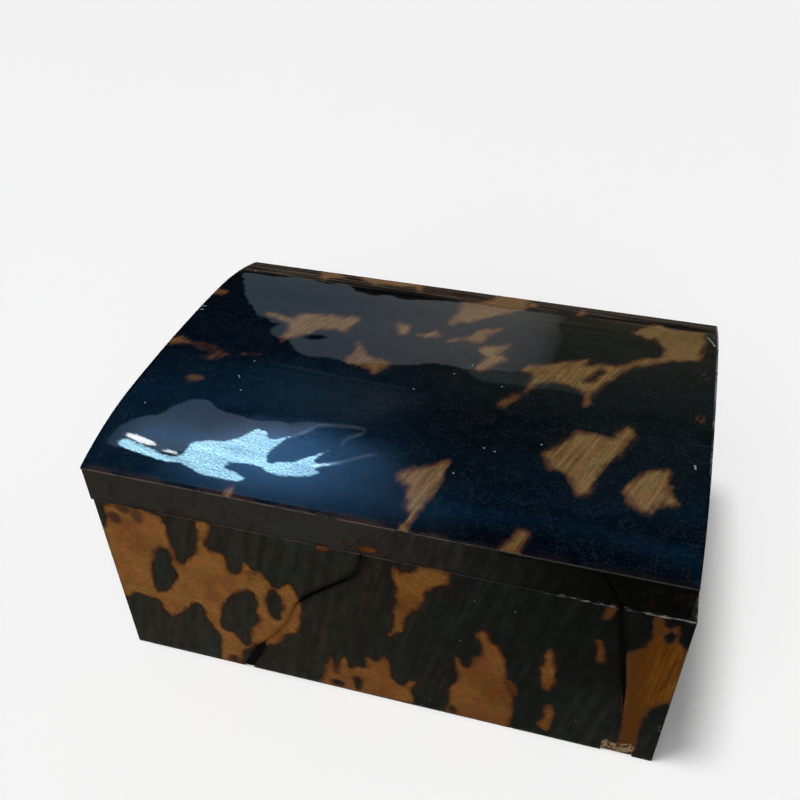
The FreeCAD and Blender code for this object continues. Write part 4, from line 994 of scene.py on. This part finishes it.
def spline(places, heights, at):
    """Natural cubic spline through the points, read at other places."""
    step = np.diff(places)
    slope = np.diff(heights) / step
    count = len(places)
    system = np.eye(count)
    target = np.zeros(count)
    for row in range(1, count - 1):
        system[row, row - 1:row + 2] = step[row - 1], 2 * (step[row - 1] + step[row]), step[row]
        target[row] = 6 * (slope[row] - slope[row - 1])
    bend = np.linalg.solve(system, target)
    cell = np.clip(np.searchsorted(places, at) - 1, 0, count - 2)
    before = at - places[cell]
    after = places[cell + 1] - at
    wide = step[cell]
    return ((bend[cell] * after ** 3 + bend[cell + 1] * before ** 3) / (6 * wide)
            + (heights[cell] / wide - bend[cell] * wide / 6) * after
            + (heights[cell + 1] / wide - bend[cell + 1] * wide / 6) * before)


def lid_height(places):
    """Height of the lid's surface at places from front to back, in mm."""
    source = frame["nodes"]["lid_top_veneer"].data
    upper = {index for polygon in source.polygons if polygon.normal.z > TOP_SHARE
             for index in polygon.vertices}
    profile = {round(y, 2): z for _, y, z in coordinates(source)[sorted(upper)] / MM}
    profile_y = sorted(profile)
    return spline(np.array(profile_y), np.array([profile[y] for y in profile_y]), places)


def eased(low, high, spacing):
    """Places from low to high in mm, with extra ones for a rounded edge at both ends."""
    inner = np.linspace(low + ARRIS_EASE, high - ARRIS_EASE, int((high - low) / spacing))
    ease = ARRIS_EASE * np.array(ARRIS_STEPS)
    return np.concatenate([low + ease, inner, (high - ease)[::-1]])


def edge_drop(places):
    """How far the rounded edge lies below the surface, in mm."""
    inset = np.minimum(places - places[0], places[-1] - places)
    short = np.clip(ARRIS_EASE - inset, 0, None)
    return ARRIS_EASE - np.sqrt(ARRIS_EASE ** 2 - short ** 2)


def lid_sheet(materials):
    """The sheet bent over the lid: a fine grid on its own profile, with rounded arrises and slight waves."""
    node = "lid_top_veneer"
    low, high = (np.array(corner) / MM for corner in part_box(node))
    columns = eased(low[0], high[0], LID_SPACING)
    rows = eased(low[1], high[1], LID_SPACING)
    x, y = np.meshgrid(columns, rows)
    z = lid_height(rows)[:, None] - edge_drop(rows)[:, None] - edge_drop(columns)[None, :]
    wave = [noise.noise(Vector((a, b * WAVE_STRETCH, 0.0)) / WAVE_LENGTH) for a, b in zip(x.flat, y.flat)]
    z = z + WAVE_DEPTH * (np.array(wave).reshape(z.shape) - 1) / 2
    top = np.stack([x, y, z], axis=2).reshape(-1, 3)
    under = [(side, row, height - SHEET_THICKNESS) for row, height in zip(rows, z[:, len(columns) // 2])
             for side in (columns[0], columns[-1])]
    wide, tall = len(columns), len(rows)
    base = wide * tall
    faces = [(r * wide + c, r * wide + c + 1, (r + 1) * wide + c + 1, (r + 1) * wide + c)
             for r in range(tall - 1) for c in range(wide - 1)]
    top_count = len(faces)
    for r in range(tall - 1):
        left, right = base + 2 * r, base + 2 * r + 1
        faces.append((left, left + 2, right + 2, right))
        faces.append((r * wide, (r + 1) * wide, left + 2, left))
        faces.append((r * wide + wide - 1, right, right + 2, (r + 1) * wide + wide - 1))
    faces.append((*range(wide - 1, -1, -1), base, base + 1))
    faces.append((*range(base - wide, base), base + 2 * tall - 1, base + 2 * tall - 2))
    mesh = bpy.data.meshes.new(node + "_plate")
    mesh.from_pydata(np.concatenate([top, under]) * MM, [], faces)
    for polygon in mesh.polygons[top_count:]:
        polygon.material_index = EDGE
    depth, tone = mottling(lid_spots(coordinates(mesh) / MM), LID_AMBER, LID_DARK)
    store(mesh, "depth", depth)
    store(mesh, "tone", tone)
    new_piece(mesh, node, materials)


def dress_veneer():
    """Replaces every sheet and plate of veneer by one that carries the mottling."""
    upright = [front_shell(), plate_edge(), joint_wall()]
    faces = {
        "front": (1, FRONT_SPACING, front_spots, FRONT_AMBER, FRONT_DARK),
        "back": (1, FAR_SPACING, back_spots, FRONT_AMBER, FRONT_DARK),
        "left": (0, FAR_SPACING, left_spots, LID_AMBER, LID_DARK),
        "right": (0, FAR_SPACING, right_spots, FRONT_AMBER, FRONT_DARK),
    }
    for node in sorted(frame["nodes"]):
        side = node.split("_")[1]
        if "_veneer" in node and side in faces:
            face, spacing, spots_of, amber, dark = faces[side]
            flat_plate(node, face, spacing, spots_of, amber, dark, upright)
    lid_sheet([lid_shell(), sheet_edge()])


def paint(node, material):
    """Gives a CAD node its finish."""
    slots = frame["nodes"][node].data.materials
    slots.clear()
    slots.append(material)


def dress_carcase():
    """Wood on the boards, rails and staves, and brass on the hinges and their screws."""
    front = carcase_wood("front_wood", "X", ("Y", -1, FRONT_BOARD))
    back = carcase_wood("back_wood", "X", ("Y", 1, BACK_BOARD))
    long_grain = carcase_wood("long_wood", "X")
    cross_grain = carcase_wood("cross_wood", "Y")
    metal = brass()
    for node in frame["nodes"]:
        if "veneer" in node:
            continue
        if "hinge" in node:
            paint(node, metal)
        elif "front" in node or node == "lid_stave_1":
            paint(node, front)
        elif "back" in node or node == "lid_stave_4":
            paint(node, back)
        elif "left" in node or "right" in node:
            paint(node, cross_grain)
        else:
            paint(node, long_grain)


def studio_floor():
    """Plain pale floor that fills the frame."""
    signs = [(-1, -1), (1, -1), (1, 1), (-1, 1)]
    mesh = bpy.data.meshes.new("floor")
    mesh.from_pydata([(x * FLOOR_HALF, y * FLOOR_HALF, FLOOR_LEVEL) for x, y in signs], [], [(0, 1, 2, 3)])
    floor = bpy.data.objects.new("floor", mesh)
    bpy.context.scene.collection.objects.link(floor)
    surface = Surface("pale_floor", specular=0.0)
    near = surface.span(surface.axes["Y"], 0.9, -0.2)
    cloud = surface.math("MULTIPLY_ADD", surface.noise((300, 300, 300)), 0.2, near)
    surface.finish(surface.mix(cloud, FLOOR_FAR, FLOOR_NEAR), 0.9)
    mesh.materials.append(surface.material)


def sun(name, azimuth, elevation, strength, spread):
    """Broad even light towards the box."""
    data = bpy.data.lights.new(name, "SUN")
    data.energy = strength
    data.angle = math.radians(spread)
    turn, rise = math.radians(azimuth), math.radians(elevation)
    lamp = bpy.data.objects.new(name, data)
    bpy.context.scene.collection.objects.link(lamp)
    lamp.location = (math.sin(turn) * math.cos(rise), math.cos(turn) * math.cos(rise), math.sin(rise))
    lamp.rotation_euler = (-lamp.location).to_track_quat("-Z", "Y").to_euler()


def glossy_only(stage):
    """The room beyond the frame shows in the polish, and neither in the picture nor as light."""
    stage.visible_camera = False
    stage.visible_diffuse = False
    stage.visible_shadow = False


def glowing(surface, colour, strength, clear=False):
    """Light of a colour from a surface, which lets what lies behind it through where it is clear."""
    light = surface.add("ShaderNodeEmission", {"Color": colour, "Strength": strength}).outputs[0]
    if clear:
        behind = surface.add("ShaderNodeBsdfTransparent").outputs[0]
        light = surface.add("ShaderNodeAddShader", {0: light, 1: behind}).outputs[0]
    surface.tree.links.new(light, surface.tree.nodes["Material Output"].inputs["Surface"])
    return surface.material


def room_glow():
    """Dim light of the room by height and side, in faint level bands, with streaks near the foot."""
    surface = Surface("room_glow")
    height = surface.math("DIVIDE", surface.axes["Z"], ROOM_RADIUS)
    side = surface.span(surface.math("DIVIDE", surface.axes["X"], ROOM_RADIUS), *ROOM_TURN)
    colour = surface.mix(side, surface.ramp(height, ROOM_LEFT), surface.ramp(height, ROOM_RIGHT))
    dip = surface.times(surface.span(height, 0.27, 0.20), surface.span(surface.axes["X"], -0.2, -0.7))
    colour = surface.mix(surface.times(dip, 0.85), colour, NO_LIGHT)
    streaks = surface.ramp(surface.noise((420, 420, 55), (0, -7, 0), 5.0, 0.6), ROOM_STREAKS)
    colour = surface.mix(surface.span(height, 0.18, 0.11), colour, streaks)
    bands = surface.noise((700, 700, 260), (0, 12, 0), 4.0, 0.6)
    return glowing(surface, colour, surface.span(bands, 0.3, 0.7, 0.7, 1.35))


def floor_glow():
    """Dim brown floor behind the box, in long streaks."""
    surface = Surface("floor_glow")
    bands = surface.noise((1800, 260, 260), (0, 0, 9), 4.0, 0.6)
    return glowing(surface, surface.ramp(bands, FLOOR_STREAKS), 1.0)


def dark_room():
    """The dim room round the box, as a dome and a floor."""
    shape = bmesh.new()
    bmesh.ops.create_uvsphere(shape, u_segments=ROOM_SIDES, v_segments=ROOM_SIDES // 2, radius=ROOM_RADIUS)
    lower = [vertex for vertex in shape.verts if vertex.co.z < -0.01]
    bmesh.ops.delete(shape, geom=lower, context="VERTS")
    dome = bpy.data.meshes.new("dark_room")
    shape.to_mesh(dome)
    shape.free()
    dome.materials.append(room_glow())
    ground = bpy.data.meshes.new("dark_floor")
    ground.from_pydata(ROOM_FLOOR, [], [(0, 1, 2, 3)])
    ground.materials.append(floor_glow())
    for mesh in (dome, ground):
        stage = bpy.data.objects.new(mesh.name, mesh)
        bpy.context.scene.collection.objects.link(stage)
        glossy_only(stage)


def mirrored(spots, reach):
    """Where the camera's rays go when the lid mirrors them at these spots, at a reach in metres."""
    step = 0.1
    low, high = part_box("lid_top_veneer")
    across = np.clip(spots[:, 1], low.y / MM + step, high.y / MM - step)
    height = lid_height(across)
    slope = (lid_height(across + step) - lid_height(across - step)) / (2 * step)
    normal = np.stack([np.zeros(len(spots)), -slope, np.ones(len(spots))], axis=1)
    normal /= np.linalg.norm(normal, axis=1)[:, None]
    place = np.column_stack([spots, height]) * MM
    ray = place - np.array(CAMERA_PLACE)
    ray /= np.linalg.norm(ray, axis=1)[:, None]
    return place + reach * (ray - 2 * (ray * normal).sum(axis=1)[:, None] * normal)


def panel_glow(panel):
    """Grainy light of a panel, with an uneven edge. Places on it are those of its image on the lid."""
    surface = Surface(panel.name + "_glow")
    spot = surface.add("ShaderNodeAttribute", attribute_name="spot").outputs["Vector"]
    axes = surface.add("ShaderNodeSeparateXYZ", {0: spot}).outputs
    colour = surface.ramp(axes["X"], [(x * MM, colour) for x, colour in panel.colours])
    low, high, front, back = panel.fade
    level = surface.span(axes["Y"], low * MM, high * MM, front, back)
    soft, ragged, wander = panel.edge
    edge = surface.attribute("depth")
    for size, reach in (((2.5, 1.2, 1.0), ragged), ((16, 11, 1.0), wander)):
        stray = surface.math("SUBTRACT", surface.noise(size, detail=4.0, rough=0.65, place=spot), 0.5)
        edge = surface.math("MULTIPLY_ADD", stray, reach, edge)
    level = surface.times(level, surface.span(edge, 0.0, soft))
    for size, turn, most in (((0.55, 0.75, 1.0), 0, panel.grain), ((30, 4, 1.0), -8, panel.grain / 3)):
        grain = surface.noise(size, (0, 0, turn), 3.0, place=spot)
        level = surface.times(level, surface.span(grain, 0.32, 0.68, 1 - most, 1 + most / 2))
    return glowing(surface, colour, level, clear=True)


def reflection(panel):
    """A bright panel in the room, shaped so that the lid mirrors it as its image."""
    image = np.array(panel.image, dtype=float)
    low, high = image.min(axis=0) - PANEL_MARGIN, image.max(axis=0) + PANEL_MARGIN
    columns, rows = (np.arange(low[axis], high[axis], PANEL_SPACING) for axis in range(2))
    spots = np.stack(np.meshgrid(columns, rows), axis=2).reshape(-1, 2)
    depth = depth_inside(spots, image, cuts=1)
    if panel.name == "window":
        depth = np.minimum(depth, HOLE_BLUR - depth_inside(spots, WINDOW_HOLE))
    wide = len(columns)
    faces = [(at, at + 1, at + wide + 1, at + wide) for at in range(len(spots) - wide) if (at + 1) % wide]
    faces = [face for face in faces if depth[list(face)].max() > -PANEL_MARGIN]
    mesh = bpy.data.meshes.new(panel.name)
    mesh.from_pydata(mirrored(spots, panel.reach), [], faces)
    store(mesh, "depth", depth)
    place = mesh.attributes.new("spot", "FLOAT_VECTOR", "POINT")
    flat = np.column_stack([spots * MM, np.zeros(len(spots))]).astype(np.float32)
    place.data.foreach_set("vector", flat.ravel())
    mesh.materials.append(panel_glow(panel))
    stage = bpy.data.objects.new(panel.name, mesh)
    bpy.context.scene.collection.objects.link(stage)
    glossy_only(stage)


def light_studio():
    """Even soft light from the front and above, a pale surround, and the room that the lid mirrors."""
    for values in SUNS:
        sun(*values)
    world = bpy.data.worlds.new("studio")
    world.use_nodes = True
    nodes, links = world.node_tree.nodes, world.node_tree.links
    background = nodes["Background"]
    background.inputs["Color"].default_value = (1.0, 1.0, 1.0, 1.0)
    path = nodes.new("ShaderNodeLightPath")
    seen = path.outputs["Is Camera Ray"]
    for ray in ("Is Glossy Ray", "Is Transmission Ray"):
        either = nodes.new("ShaderNodeMath")
        either.operation = "MAXIMUM"
        links.new(seen, either.inputs[0])
        links.new(path.outputs[ray], either.inputs[1])
        seen = either.outputs[0]
    level = nodes.new("ShaderNodeMapRange")
    level.inputs["To Min"].default_value = WORLD_LIGHT
    level.inputs["To Max"].default_value = WORLD_SEEN
    links.new(seen, level.inputs["Value"])
    links.new(level.outputs[0], background.inputs["Strength"])
    bpy.context.scene.world = world
    dark_room()
    for panel in PANELS:
        reflection(panel)


def place_camera():
    """Camera of the photograph."""
    right = Vector((math.cos(CAMERA_YAW), math.sin(CAMERA_YAW), 0))
    level = math.cos(CAMERA_PITCH)
    ahead = Vector((-math.sin(CAMERA_YAW) * level, math.cos(CAMERA_YAW) * level, -math.sin(CAMERA_PITCH)))
    up = right.cross(ahead)
    turn = Matrix((right, up, -ahead)).transposed() @ Matrix.Rotation(CAMERA_ROLL, 3, "Z")
    data = bpy.data.cameras.new("camera")
    data.sensor_width = SENSOR_MM
    data.lens = SENSOR_MM * FOCAL_PIXELS / FRAME_PIXELS
    data.shift_x = (FRAME_PIXELS / 2 - CENTRE_PIXELS[0]) / FRAME_PIXELS
    data.shift_y = (CENTRE_PIXELS[1] - FRAME_PIXELS / 2) / FRAME_PIXELS
    data.clip_start = 0.01
    camera = bpy.data.objects.new("camera", data)
    bpy.context.scene.collection.objects.link(camera)
    camera.matrix_world = Matrix.Translation(CAMERA_PLACE) @ turn.to_4x4()
    bpy.context.scene.camera = camera


dress_veneer()
dress_carcase()
studio_floor()
light_studio()
place_camera()
bpy.context.scene.view_settings.view_transform = "Standard"
